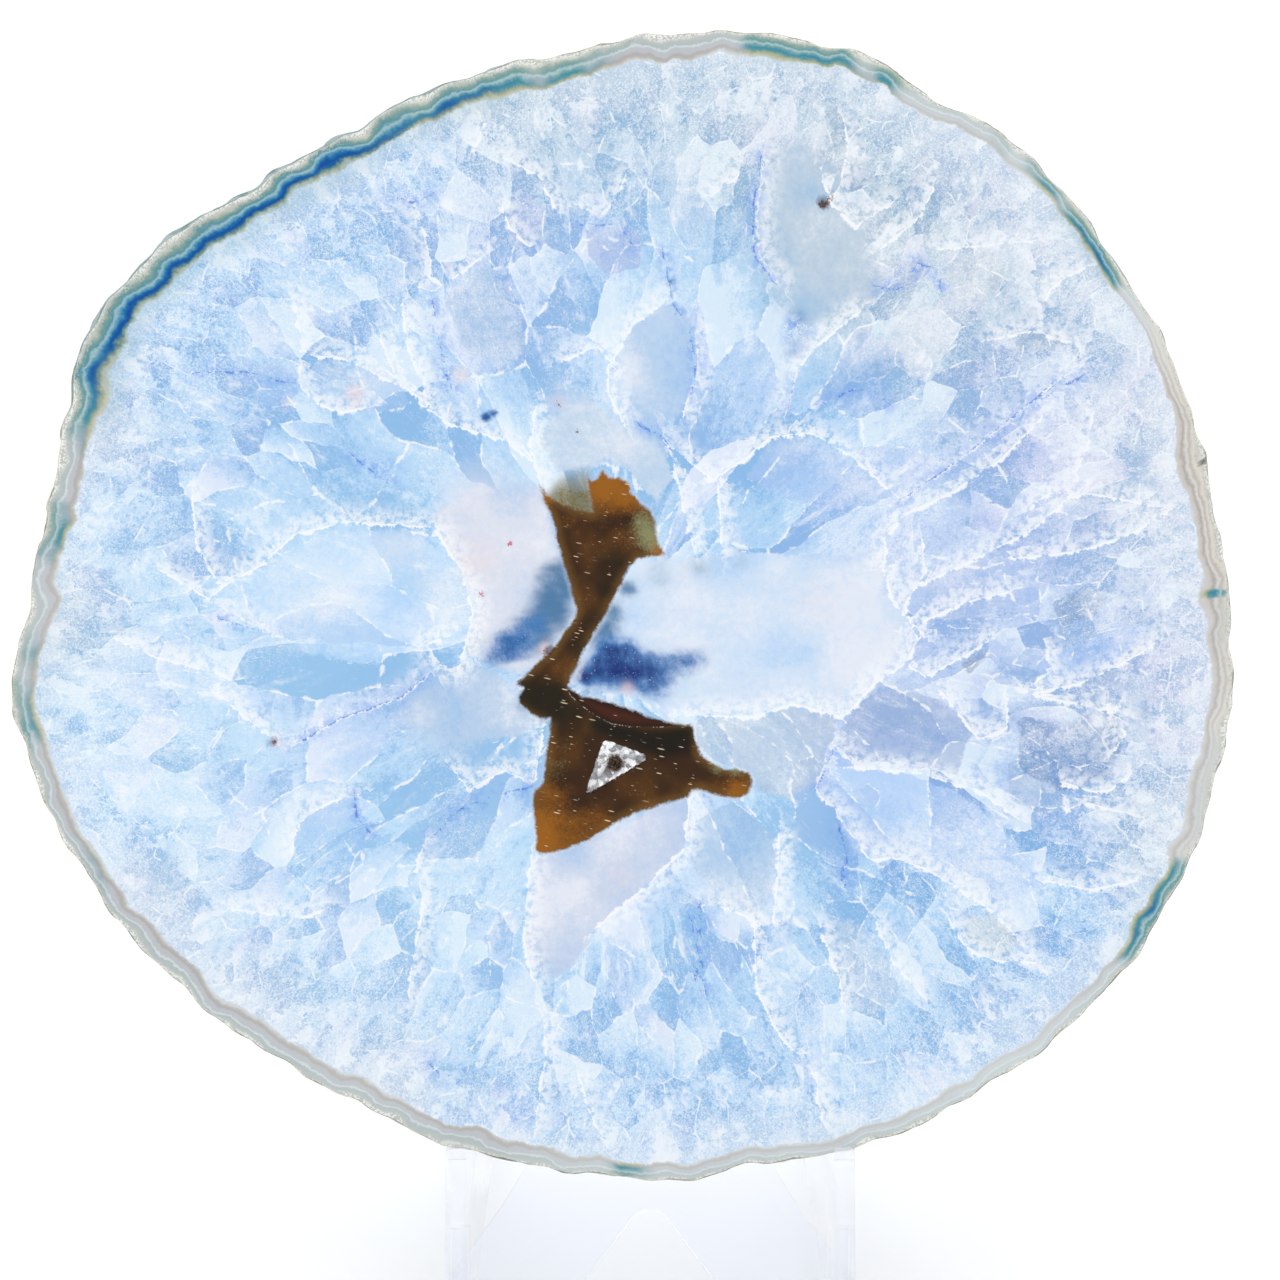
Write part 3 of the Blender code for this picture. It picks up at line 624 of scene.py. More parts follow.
def lattice_noise(points, size, seed):
    """Smooth noise from 0 to 1: random values on a cubic lattice, blended between its corners
    with the weights 3t^2 - 2t^3."""
    table = np.random.default_rng(seed).random(LATTICE_SIZE)
    scaled = points / size
    cell = np.floor(scaled).astype(int)
    t = scaled - cell
    t = t * t * (3.0 - 2.0 * t)
    total = np.zeros(len(points))
    for corner in np.ndindex(2, 2, 2):
        weight = np.prod(np.where(corner, t, 1.0 - t), axis=1)
        total += weight * table[((cell + corner) @ LATTICE_STRIDES) % LATTICE_SIZE]
    return total


def layered_noise(points, size, layers, seed):
    """A sum of lattice noises, each half as large and half as strong as the last, from 0 to 1."""
    strength = 0.5 ** np.arange(layers)
    total = sum(
        strength[i] * lattice_noise(points + LAYER_SHIFT * i, size / 2**i, seed + i)
        for i in range(layers)
    )
    return np.clip(0.5 + (total / strength.sum() - 0.5) * LAYER_CONTRAST, 0.0, 1.0)


def three_noises(points, size, layers, seed):
    """Layered noise for each of three directions."""
    return np.column_stack([layered_noise(points, size, layers, seed + 5 * i) for i in range(3)])


def distance_to_edges(points, outline):
    """Shortest distance from each point to the sides of a closed outline."""
    nearest = np.full(len(points), np.inf)
    for start, end in zip(outline, np.roll(outline, -1, axis=0)):
        side = end - start
        along = np.clip(((points - start) @ side) / (side @ side), 0.0, 1.0)
        nearest = np.minimum(nearest, np.linalg.norm(points - start - along[:, None] * side, axis=1))
    return nearest


def signed_distance(points, outline):
    """Distance to a closed outline, positive inside; a point is inside where a line from it
    crosses the outline an odd number of times."""
    inside = np.zeros(len(points), dtype=bool)
    x, y = points.T
    for (x0, y0), (x1, y1) in zip(outline, np.roll(outline, -1, axis=0)):
        crosses = (y0 > y) != (y1 > y)
        rise = y1 - y0 if y1 != y0 else 1e-9
        inside ^= crosses & (x < (x1 - x0) * (y - y0) / rise + x0)
    return np.where(inside, 1.0, -1.0) * distance_to_edges(points, outline)


def beside_lines(points, lines):
    """Distance to the nearest of some open lines, signed by the side of it, and unsigned."""
    nearest = np.full(len(points), np.inf)
    beside = np.zeros(len(points))
    for line in lines:
        path = from_photo(line)
        for start, end in zip(path, path[1:]):
            run = end - start
            offset = points - start
            along = np.clip((offset @ run) / (run @ run), 0.0, 1.0)
            away = np.linalg.norm(offset - along[:, None] * run, axis=1)
            side = np.sign(run[0] * offset[:, 1] - run[1] * offset[:, 0])
            closer = away < nearest
            beside[closer] = (side * away)[closer]
            nearest[closer] = away[closer]
    return beside, nearest


def crystal_fields(points, crystals):
    """Signed distance to the nearest of some outlined crystals, and that crystal's colour."""
    deepest = np.full(len(points), -np.inf)
    colour = np.zeros((len(points), 3))
    for outline, tint in crystals:
        distance = signed_distance(points, from_photo(outline))
        closer = distance > deepest
        deepest[closer] = distance[closer]
        colour[closer] = linear(*tint)
    return deepest, colour


def stain(points, spots):
    """How stained each point is, from 0 to 1: what is left clear is the product, over the
    spots, of one less the spot's strength times a bell curve of the distance."""
    clear = np.ones(len(points))
    for x, y, spread, strength in spots:
        away = np.linalg.norm(points - from_photo((x, y)), axis=1) / (spread * PICTURE_SCALE)
        clear *= 1.0 - strength * np.exp(-(away**2))
    return 1.0 - clear


def around(angle, arcs):
    """The same for arcs of the rim: bell curves of the angle between a point and each arc."""
    clear = np.ones(len(angle))
    for direction, width, strength in arcs:
        turned = (np.degrees(angle) - direction + 180.0) % 360.0 - 180.0
        clear *= 1.0 - strength * np.exp(-((turned / width) ** 2))
    return 1.0 - clear


def body_tint(points):
    """The quartz's own colour: a mean of the tint spots' colours, weighted by bell curves."""
    total = np.full(len(points), 1e-4)
    colour = np.outer(total, SKY)
    for x, y, spread, tint in TINT_SPOTS:
        away = np.linalg.norm(points - from_photo((x, y)), axis=1) / (spread * PICTURE_SCALE)
        weight = np.exp(-(away**2))
        total += weight
        colour += weight[:, None] * np.array(tint)
    return colour / total[:, None]


def smooth_step(value, low, high):
    """0 below low and 1 above high, with 3t^2 - 2t^3 between them."""
    t = np.clip((value - low) / (high - low), 0.0, 1.0)
    return t * t * (3.0 - 2.0 * t)


def pocket_outline():
    """The pocket's rounded triangle: its sides in steps, with the corners cut off twice."""
    corners = np.array(POCKET_CORNERS)
    ends = np.roll(corners, -1, axis=0)
    points = np.concatenate([
        start + (end - start) * np.linspace(0.0, 1.0, POCKET_SIDE_STEPS, endpoint=False)[:, None]
        for start, end in zip(corners, ends)
    ])
    for _ in range(2):
        ends = np.roll(points, -1, axis=0)
        points = np.stack((points * 0.75 + ends * 0.25, points * 0.25 + ends * 0.75), axis=1)
        points = points.reshape(-1, 2)
    return points


# The slice's place in the model


def slice_turn():
    """The turn that stands the slice up and leans it back."""
    return np.array(Euler((math.pi / 2 - LEAN, 0.0, 0.0)).to_matrix())


def slice_middle():
    """The slice's middle in metres: where the smooth edge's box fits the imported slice's box."""
    angle = np.linspace(0.0, math.tau, OUTER_STEPS, endpoint=False)
    rings = []
    for level in (0.0, 0.5, 1.0):
        radius = rim_radius(angle, level) - (0.0 if level == 0.5 else POLISHED_EDGE)
        w = np.full_like(angle, THICKNESS * (0.5 - level))
        rings.append(np.stack((radius * np.cos(angle), radius * np.sin(angle), w), axis=1))
    turned = np.concatenate(rings) @ slice_turn().T * MM
    low, high = (np.array(corner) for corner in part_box("agate_slice"))
    return (low + high) / 2 - (turned.min(axis=0) + turned.max(axis=0)) / 2


SLICE_MIDDLE = slice_middle()


def to_model(points):
    """Slice coordinates in millimetres as model coordinates in metres."""
    return points @ slice_turn().T * MM + SLICE_MIDDLE


# Meshes


def ring_faces(near, far):
    """Triangles between two rings of vertex numbers; one ring may have twice as many."""
    if len(near) == len(far):
        next_near, next_far = np.roll(near, -1), np.roll(far, -1)
        return np.concatenate((
            np.stack((near, far, next_far), axis=1), np.stack((near, next_far, next_near), axis=1),
        ))
    if len(near) > len(far):
        return ring_faces(far, near)[:, ::-1]
    odd, even = far[1::2], far[0::2]
    next_even, next_near = np.roll(even, -1), np.roll(near, -1)
    return np.concatenate((
        np.stack((near, even, odd), axis=1),
        np.stack((near, odd, next_near), axis=1),
        np.stack((next_near, odd, next_even), axis=1),
    ))


def fan_faces(ring, tip):
    """Triangles from a ring of vertex numbers to one vertex."""
    return np.stack((ring, np.roll(ring, -1), np.full_like(ring, tip)), axis=1)


def new_piece(name, points, faces, attributes, material):
    """A linked mesh object at the origin, riding on the root body."""
    mesh = bpy.data.meshes.new(name)
    mesh.from_pydata(points.tolist(), [], faces.tolist())
    for label, values in attributes.items():
        kind = "FLOAT" if values.ndim == 1 else "FLOAT_COLOR"
        kind = "FLOAT_VECTOR" if label in VECTOR_FIELDS else kind
        layer = mesh.attributes.new(label, kind, "POINT")
        if kind == "FLOAT":
            layer.data.foreach_set("value", values.astype(np.float32))
        elif kind == "FLOAT_VECTOR":
            layer.data.foreach_set("vector", values.astype(np.float32).ravel())
        else:
            filled = np.column_stack((values, np.ones(len(values)))).astype(np.float32)
            layer.data.foreach_set("color", filled.ravel())
    mesh.update()
    mesh.materials.append(material)
    piece = bpy.data.objects.new(name, mesh)
    bpy.context.scene.collection.objects.link(piece)
    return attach(piece, "root")


# Shader writing


class Signal:
    """One output of a node. Arithmetic on it adds Math nodes to the same material."""

    def __init__(self, finish, socket):
        self.finish = finish
        self.socket = socket

    def math(self, operation, *values):
        """A Math node on the given values."""
        return self.finish.node("ShaderNodeMath", {"operation": operation}, dict(enumerate(values)))

    def other(self, name):
        """Another output of the same node."""
        return Signal(self.finish, self.socket.node.outputs[name])

    def __add__(self, value):
        return self.math("ADD", self, value)

    def __radd__(self, value):
        return self.math("ADD", value, self)

    def __sub__(self, value):
        return self.math("SUBTRACT", self, value)

    def __rsub__(self, value):
        return self.math("SUBTRACT", value, self)

    def __mul__(self, value):
        return self.math("MULTIPLY", self, value)

    def __rmul__(self, value):
        return self.math("MULTIPLY", value, self)

    def __truediv__(self, value):
        return self.math("DIVIDE", self, value)

    def __pow__(self, value):
        return self.math("POWER", self, value)

    def step(self, low, high):
        """0 at low and 1 at high, smooth between them; low may be the higher number."""
        ends = (low, high, 0.0, 1.0) if low < high else (high, low, 1.0, 0.0)
        inputs = {"Value": self, **dict(enumerate(ends, start=1))}
        return self.finish.node("ShaderNodeMapRange", {"interpolation_type": "SMOOTHSTEP"}, inputs)

    def size(self):
        """This without its sign."""
        return self.math("ABSOLUTE", self)

    def peak(self, value):
        """The larger of this and another."""
        return self.math("MAXIMUM", self, value)

    def swing(self, amount):
        """Noise from 0 to 1 as a swing of half the amount to either side of zero."""
        return (self - 0.5) * amount

    def line(self, half_width):
        """1 along the line where this distance is zero, fading to 0 at the half width."""
        return (self.size() / half_width).step(1.0, LINE_CORE)


class Finish:
    """A material being written: its nodes come from node(), which sets them and wires them."""

    def __init__(self, name):
        self.material = bpy.data.materials.new(name)
        self.material.use_nodes = True
        self.tree = self.material.node_tree
        self.tree.nodes.clear()

    def node(self, kind, settings=None, inputs=None, output=0):
        """Add a node: settings first, then each input's value or link; hand back one output."""
        made = self.tree.nodes.new(kind)
        for label, value in (settings or {}).items():
            if label == "stops":
                self.set_stops(made.color_ramp, value)
            else:
                setattr(made, label, value)
        for key, value in (inputs or {}).items():
            if isinstance(value, Signal):
                self.tree.links.new(value.socket, made.inputs[key])
            else:
                made.inputs[key].default_value = value
        return Signal(self, made.outputs[output]) if made.outputs else None

    def set_stops(self, ramp, stops):
        """Give a colour ramp its stops: place, then red, green and blue in display values."""
        while len(ramp.elements) < len(stops):
            ramp.elements.new(0.5)
        for element, (place, *colour) in zip(ramp.elements, stops):
            element.position = place
            element.color = (*linear(*colour), 1.0)

    def ramp(self, factor, stops):
        """A colour read off a ramp."""
        return self.node("ShaderNodeValToRGB", {"stops": stops}, {"Fac": factor})

    def vector(self, operation, *values):
        """A Vector Math node."""
        return self.node("ShaderNodeVectorMath", {"operation": operation}, dict(enumerate(values)))

    def dot(self, one, two):
        """The dot product of two vectors."""
        return self.vector("DOT_PRODUCT", one, two).other("Value")

    def point(self, x, y, z=0.0):
        """A vector from three numbers."""
        return self.node("ShaderNodeCombineXYZ", None, {0: x, 1: y, 2: z})

    def mix(self, factor, one, two, blend="MIX"):
        """A colour between two colours: inputs 6 and 7 and output 2 of the Mix node."""
        settings = {"data_type": "RGBA", "blend_type": blend}
        inputs = {0: factor, 6: self.filled(one), 7: self.filled(two)}
        return self.node("ShaderNodeMix", settings, inputs, output=2)

    def times(self, one, two):
        """Two colours multiplied."""
        return self.mix(1.0, one, two, "MULTIPLY")

    def filled(self, colour):
        """A colour as a socket takes it."""
        return colour if isinstance(colour, Signal) else (*colour, 1.0)

    def noise(self, place, scale, detail, roughness=0.5, flat=False):
        """Soft noise around 0.5, over the slice alone where it is flat."""
        settings = {"noise_dimensions": "2D" if flat else "3D"}
        inputs = {"Vector": place, "Scale": scale, "Detail": detail, "Roughness": roughness}
        return self.node("ShaderNodeTexNoise", settings, inputs)

    def cells(self, place, feature="F1"):
        """Flat Voronoi cells."""
        settings = {"voronoi_dimensions": "2D", "feature": feature}
        return self.node("ShaderNodeTexVoronoi", settings, {"Vector": place, "Scale": 1.0})

    def attribute(self, name, output="Fac"):
        """A value stored on the mesh."""
        return self.node("ShaderNodeAttribute", {"attribute_name": name}, None, output)

    def split(self, vector, axis):
        """One part of a vector."""
        return self.node("ShaderNodeSeparateXYZ", None, {0: vector}, axis)

    def slice_place(self):
        """The point being shaded, in slice coordinates and millimetres."""
        inputs = {
            "Vector": self.node("ShaderNodeTexCoord", None, None, "Object"),
            "Location": tuple(SLICE_MIDDLE),
            "Rotation": (math.pi / 2 - LEAN, 0.0, 0.0),
            "Scale": (MM, MM, MM),
        }
        return self.node("ShaderNodeMapping", {"vector_type": "TEXTURE"}, inputs)

    def surface(self, **inputs):
        """The shader itself, wired to the output. Underscores in names stand for spaces."""
        named = {label.replace("_", " "): value for label, value in inputs.items()}
        named["Base Color"] = self.filled(named["Base Color"])
        shader = self.node("ShaderNodeBsdfPrincipled", None, named)
        self.node("ShaderNodeOutputMaterial", None, {"Surface": shader})
        return self.material


# The quartz


def polar(finish, place):
    """Angle and radius about the point from which the crystals seem to spread."""
    x, y = finish.split(place, "X"), finish.split(place, "Y") + SPREAD_DROP
    return y.math("ARCTAN2", y, x), (x * x + y * y) ** 0.5


def generation(finish, angle, radius, per_radian, length, seed, edges=True):
    """One generation of crystals: cells that are long along the radius. Each has a random tone
    and tint, a painted facet shading, which is the way from its middle along a random direction
    and paints light and shade as on a tilted facet, and, where asked for, the distance to its
    nearest boundary in millimetres."""
    place = finish.point(angle * per_radian + seed, radius / length + seed * 0.37)
    cell = finish.cells(place)
    random = cell.other("Color")
    away = finish.vector("SUBTRACT", place, cell.other("Position"))
    made = {
        "tone": finish.split(random, "X"),
        "tint": finish.split(random, "Y"),
        # Painted shading: a gradient across each crystal, as if its facet were tilted to the light
        "painted_facet_shading": finish.dot(away, finish.vector("SUBTRACT", random, (0.5, 0.5, 0.5))),
    }
    if edges:
        made["edge"] = finish.cells(place, "DISTANCE_TO_EDGE") * radius / per_radian
    return made


class Growth:
    """The crystals that grew inwards from the rind, in three generations that are finer the
    nearer they are to it, and the fibres along them."""

    def __init__(self, finish, noises):
        torn, grain, _ = noises
        self.depth = finish.attribute("inward") + finish.attribute("cloud").swing(34.0)
        angle, radius = polar(finish, finish.attribute("bent", "Vector"))
        self.middle = generation(finish, angle, radius, *MIDDLE_CRYSTALS)
        self.small = generation(finish, angle, radius, *SMALL_CRYSTALS)
        angle, radius = polar(finish, finish.attribute("drifted", "Vector"))
        ragged = angle + (torn.swing(0.05) + grain.swing(0.05))
        self.needle = generation(finish, ragged, radius, *NEEDLES, edges=False)
        self.in_small = self.depth.step(*SMALL_DEPTHS)
        self.in_needle = self.depth.step(*NEEDLE_DEPTHS) * 0.85
        streaky = finish.point(angle * FIBRES_PER_RADIAN, radius * FIBRES_PER_MM)
        self.fibre = finish.noise(streaky, *FIBRE_NOISE, flat=True)

    def chosen(self, label):
        """A value of whichever generation is found at this depth."""
        value = self.middle[label] + self.in_small * (self.small[label] - self.middle[label])
        return value + self.in_needle * (self.needle[label] - value)


def facet_colour(finish, noises, growth):
    """Colour of the crystals: the body tint, lighter or darker by each crystal's random tone and by
    its painted facet shading, by cloudy patches and by the fibres, and a lilac cast on some."""
    _, grain, fine = noises
    tint = finish.attribute("tint", "Color")
    shade = (
        0.5 + growth.chosen("tone").swing(1.15) + growth.chosen("painted_facet_shading") * 1.7
        + finish.attribute("cloud").swing(1.3) + grain.swing(0.8)
        + growth.fibre.swing(1.0) + fine.swing(0.5)
    )
    # The lighter and darker copies of the tint follow the shade: partly the crystals' own tone, partly
    # painted facet light and shade
    colour = finish.mix(shade.step(0.45, 1.05), tint, finish.mix(0.66, tint, PALE_ICE))
    colour = finish.mix(shade.step(0.5, -0.05), colour, finish.times(tint, DEEPENING))
    lilac = finish.times(colour, LILAC_CAST)
    return finish.mix(growth.chosen("tint").step(0.5, 0.95) * 0.8, colour, lilac)


def dye_marks(finish, noises, colour):
    """The colour with its dye clouds and the scribbles that the dye drew along hair cracks."""
    torn, grain, _ = noises
    drawn = finish.attribute("dye_cloud") + finish.attribute("cloud").swing(1.2)
    smudge = ((grain + torn) * 0.5).step(0.46, 0.6) * drawn.step(0.15, 0.9)
    hair = (grain - 0.5).size().step(0.03, 0.0) * drawn.step(0.3, 0.8)
    colour = finish.mix(smudge * 0.7, colour, DYE_WASH)
    return finish.mix(hair * 0.75, colour, DYE_LINE)


def large_crystals(finish, noises, wobble, colour):
    """The colour with the large single crystals laid over it in layers, milky in patches, and
    the broken white lines along their outlines."""
    torn, grain, fine = noises
    milk, fading = finish.attribute("milk"), finish.attribute("fading")
    mottle = milk + grain.swing(0.3) + fine.swing(0.12)
    softness = 0.25 + milk.step(0.48, 0.7) * 2.0 + fading * 9.0
    width = 0.06 + torn.step(0.5, 0.75) * 0.2
    broken = torn.step(0.48, 0.64) * (milk + fading).step(0.62, 0.45) * 0.7
    lines = 0.0
    for name, strength in CRYSTAL_LAYERS:
        inside = finish.attribute(name) + wobble
        body = finish.attribute(name + "_tint", "Color")
        fill = finish.mix(mottle.step(0.47, 0.72), body, finish.mix(0.65, body, MILK_WHITE))
        fill = finish.mix(mottle.step(0.52, 0.22), fill, finish.times(body, CRYSTAL_DEEPENING))
        colour = finish.mix((inside / softness).step(-0.5, 1.0) * strength, colour, fill)
        lines = lines + inside.line(width) * broken
    return colour, lines


def fractures(finish, noises, wobble):
    """How white the picture's fractures are, and a painted highlight that fades away on one side of
    each.
    """
    torn, grain, fine = noises
    away = finish.attribute("from_fracture")
    side = finish.attribute("beside") + wobble * 0.6 + fine.swing(0.12)
    line = side.line(0.1 + torn.step(0.38, 0.7) * 0.62)
    line = line * away.step(1.3, 0.7) * (torn + grain).step(0.72, 0.95)
    # Painted highlight: one side of each fracture is lightened, as a facet lit by the lamp would be,
    # fading within 5 mm
    painted_fracture_highlight = side.step(0.0, 0.12) * side.step(5.0, 0.1)
    return line, painted_fracture_highlight * away.step(5.4, 1.5) * grain.step(0.3, 0.62)


def crystal_boundaries(torn, growth):
    """Broken white lines along the boundaries of the two coarser generations."""
    width = 0.05 + torn.step(0.42, 0.7) * 0.4
    middle = (growth.middle["edge"] / width).step(1.0, 0.1) * growth.depth.step(20.0, 30.0)
    small = (growth.small["edge"] / (width * 0.7)).step(1.0, 0.1) * growth.depth.step(44.0, 30.0)
    return middle.peak(small) * torn.step(0.42, 0.58)


def frosting(finish, noises, growth, near_rind):
    """Filaments along the growth, curled flakes, bright grains, frost and painted glints on needles:
    how white they are, in clusters that are denser near the rind."""
    torn, grain, fine = noises
    fibre = growth.fibre
    bursts = finish.attribute("milk") * 0.7 + finish.attribute("cloud") * 0.5
    bursts = bursts + growth.depth.step(50.0, 4.0) * 0.35
    filament = (fibre - 0.5).size().step(0.02, 0.002) * (bursts + (torn - 0.5)).step(0.64, 0.9)
    curls = (grain - 0.5).size().step(0.022, 0.002) * (bursts + fine * 0.5).step(0.82, 1.08)
    grains = fine.step(0.52, 0.72) * (bursts + grain * 0.6 + near_rind * 0.5).step(1.0, 1.4)
    frost = fibre.step(0.54, 0.74) * (bursts + grain * 0.4).step(0.55, 1.1)
    # Painted glints: the brightest needles near the rind, turned white as if catching the light
    painted_needle_glints = (growth.needle["tone"] + grain * 0.4).step(0.9, 1.12)
    painted_needle_glints = painted_needle_glints * growth.in_needle * fibre.step(0.35, 0.6)
    return (painted_needle_glints * 0.8).peak(frost * 0.8).peak(grains * 0.75).peak(filament * 0.7).peak(curls * 0.7)


def dyed_cracks(finish, noises, wobble, colour):
    """The colour with the cracks that drew in dye, each with a pale halo."""
    torn, grain, fine = noises
    away = finish.attribute("from_dyed")
    side = finish.attribute("beside_dyed") + wobble * 0.8 + fine.swing(0.6)
    crack = side.line(0.06 + torn.step(0.35, 0.65) * 0.14)
    crack = crack * away.step(1.5, 0.6) * (torn + fine).step(0.9, 1.1)
    halo = away.step(2.8, 0.1) * ((grain + torn) * 0.5).step(0.45, 0.6)
    colour = finish.mix(halo * 0.6, colour, DYE_HALO)
    return finish.mix(crack * 0.75, colour, DYED_CRACK)


def quartz_colour(finish, noises):
    """Colour of the quartz: facets with painted shading, dye, large crystals, then white fractures with
    a painted highlight beside each and frosting with painted glints, which stay off the milky crystals,
    and the dyed cracks over all."""
    torn, grain, _ = noises
    growth = Growth(finish, noises)
    wobble = torn.swing(1.7) + grain.swing(0.4)
    colour = facet_colour(finish, noises, growth)
    colour = dye_marks(finish, noises, colour)
    colour, outlines = large_crystals(finish, noises, wobble, colour)
    fracture, painted_fracture_highlight = fractures(finish, noises, wobble)
    cloud = finish.attribute("cloud")
    near_rind = (finish.attribute("inward") + torn.swing(12.0) + cloud.swing(14.0)).step(11.0, 1.5)
    outside_milk = finish.attribute("milky").step(0.6, -0.4)
    boundaries = crystal_boundaries(torn, growth) * 0.85 * outside_milk
    white = frosting(finish, noises, growth, near_rind) * outside_milk
    white = white.peak(outlines).peak(fracture).peak(boundaries).peak(painted_fracture_highlight * 0.85)
    colour = finish.mix(near_rind * 0.5, colour, RIND_SIDE_WHITE)
    colour = finish.mix(white * 0.94, colour, FRACTURE_WHITE)
    return dyed_cracks(finish, noises, wobble, colour)


# The heart, its stains and the rind


def ink_stains(finish, noises, feather, colour):
    """The colour with the teal and navy stains beside the heart, feathered, with a few painted glints
    in the navy.
    """
    _, grain, fine = noises
    reach = feather + finish.attribute("soft").swing(0.4)
    navy, teal = finish.attribute("navy"), finish.attribute("teal")
    navy = navy + reach * 0.65 * navy.step(0.02, 0.35)
    teal = teal + reach * 0.55 * teal.step(0.02, 0.35)
    colour = finish.mix(teal.step(0.02, 1.0) * 0.92, colour, TEAL_INK)
    colour = finish.mix(navy.step(0.03, 0.75) * 0.92, colour, BLUE_INK)
    colour = finish.mix(navy.step(0.34, 1.15) * 0.98, colour, NAVY_INK)
    # Painted glints: pale specks of light in the dark navy ink
    painted_glint = (fine + grain.swing(0.5)).step(0.68, 0.8) * navy.step(0.3, 0.7)
    return finish.mix(painted_glint * 0.6, colour, PAINTED_GLINT)


def small_stains(finish, fine, feather, colour):
    """The colour with its faint blushes and its small brown and crimson specks."""
    blush = finish.attribute("blush")
    blush = blush + feather * 0.6 * blush.step(0.02, 0.4)
    colour = finish.mix(blush.step(0.05, 1.0) * 0.6, colour, BLUSH)
    brown = finish.attribute("brown")
    brown = (brown + fine.swing(1.4) + feather).step(0.35, 0.7) * brown.step(0.04, 0.3)
    colour = finish.mix(brown * 0.85, colour, BROWN_SPECK)
    crimson = finish.attribute("crimson")
    crimson = (crimson + fine.swing(2.0) + feather).step(0.4, 0.8) * crimson.step(0.04, 0.3)
    return finish.mix(crimson * 0.8, colour, CRIMSON_SPECK)


def scratches(finish, place):
    """How bright the heart's short scratches are: narrow lines across turned, stretched cells,
    of which a random part is picked and each has a random reach."""
    turned = finish.node("ShaderNodeMapping", None, {"Vector": place, "Rotation": SCRATCH_TURN})
    marks = finish.cells(finish.vector("MULTIPLY", turned, SCRATCH_STRETCH))
    random = marks.other("Color")
    picked = finish.split(random, "X").step(0.48, 0.72)
    reach = 0.06 + finish.split(random, "Y") ** 3.0 * 0.22
    return (marks / reach).step(1.0, 0.5) * picked * finish.split(random, "Z").step(0.1, 1.0)


def heart_colour(finish, place, noises):
    """Colour of the brown chalcedony: dark where it is thick, amber at its thin tips, with
    olive and red-brown patches, a black wedge and seam, and short bright scratches."""
    fine = (noises[1] + noises[2]) * 0.5
    heart, soft = finish.attribute("heart"), finish.attribute("soft")
    brown = finish.mix(soft.step(0.32, 0.68), THICK_BROWN, THIN_BROWN)
    colour = finish.mix((heart + fine.swing(1.2)).step(1.8, 0.0) * 0.6, brown, BROWN_EDGE)
    amber = finish.attribute("amber") + soft.swing(0.8) + fine.swing(0.9)
    colour = finish.mix(amber.step(0.05, 1.05), colour, AMBER)
    olive = finish.attribute("olive") + fine.swing(1.5) + soft.swing(0.5)
    colour = finish.mix(olive.step(0.1, 1.1) * 0.8, colour, OLIVE)
    dark = finish.attribute("dark") + soft.swing(0.3)
    colour = finish.mix(dark.step(0.1, 0.95) * 0.93, colour, DARK_BROWN)
    colour = finish.mix(finish.attribute("wedge").step(-1.4, 0.9) * 0.92, colour, WEDGE_BLACK)
    facet = finish.attribute("red")
    redder = finish.mix(facet.step(0.0, 1.6), DARK_RED_BROWN, RED_BROWN)
    colour = finish.mix(facet.step(-0.15, 0.15), colour, redder)
    seam = facet.line(0.13) * fine.step(0.5, 0.6) * heart.step(0.3, 0.9)
    colour = finish.mix(seam * 0.75, colour, SEAM)
    return finish.mix(scratches(finish, place) * 0.9, colour, SCRATCH)


def rind_colour(finish, noises):
    """Colour of the banded rind, by the share of the way from the outer skin to the quartz.
    Hands back the colour and that share, whose bands wander and pinch."""
    torn, grain, fine = noises
    soft, patchy = finish.attribute("soft"), finish.attribute("cloud")
    share = finish.attribute("rind")
    across = share + soft.swing(0.75) + torn.swing(0.3) + grain.swing(0.1)
    banded = across + finish.attribute("milk").swing(0.5)
    dye = finish.attribute("dye") + patchy.swing(0.9) + soft.swing(0.7)
    cream = (finish.attribute("cream") + patchy.swing(0.6)).step(0.25, 0.75)
    colour = finish.mix(cream, finish.ramp(banded, PLAIN_BANDS), finish.ramp(banded, CREAM_BANDS))
    colour = finish.mix(finish.attribute("pale") * 0.6, colour, PALE_RIND)
    colour = finish.mix(dye.step(0.16, 0.5), colour, finish.ramp(banded, TEAL_BANDS))
    colour = finish.mix(dye.step(0.5, 0.95), colour, finish.ramp(banded, BLUE_BANDS))
    chips = fine.swing(1.4) + grain
    skin = (share + chips.swing(0.4) + soft.swing(0.5)).step(0.28, 0.12)
    flecked = finish.mix(chips.step(0.4, 0.6), SKIN_GREY, SKIN_WHITE)
    return finish.mix(skin * 0.9, colour, flecked), across


def rim_colour(finish, fine):
    """Colour of the natural skin round the edge: pitted, and stained where the rind is dyed."""
    pits = finish.attribute("pitted") + fine.swing(0.3)
    colour = finish.mix(pits.step(0.35, 0.62), PIT_GREY, RIM_CREAM)
    stained = (finish.attribute("dye") + pits.swing(0.8)).step(0.4, 0.9)
    return finish.mix(stained * 0.55, colour, RIM_TEAL)


# Materials


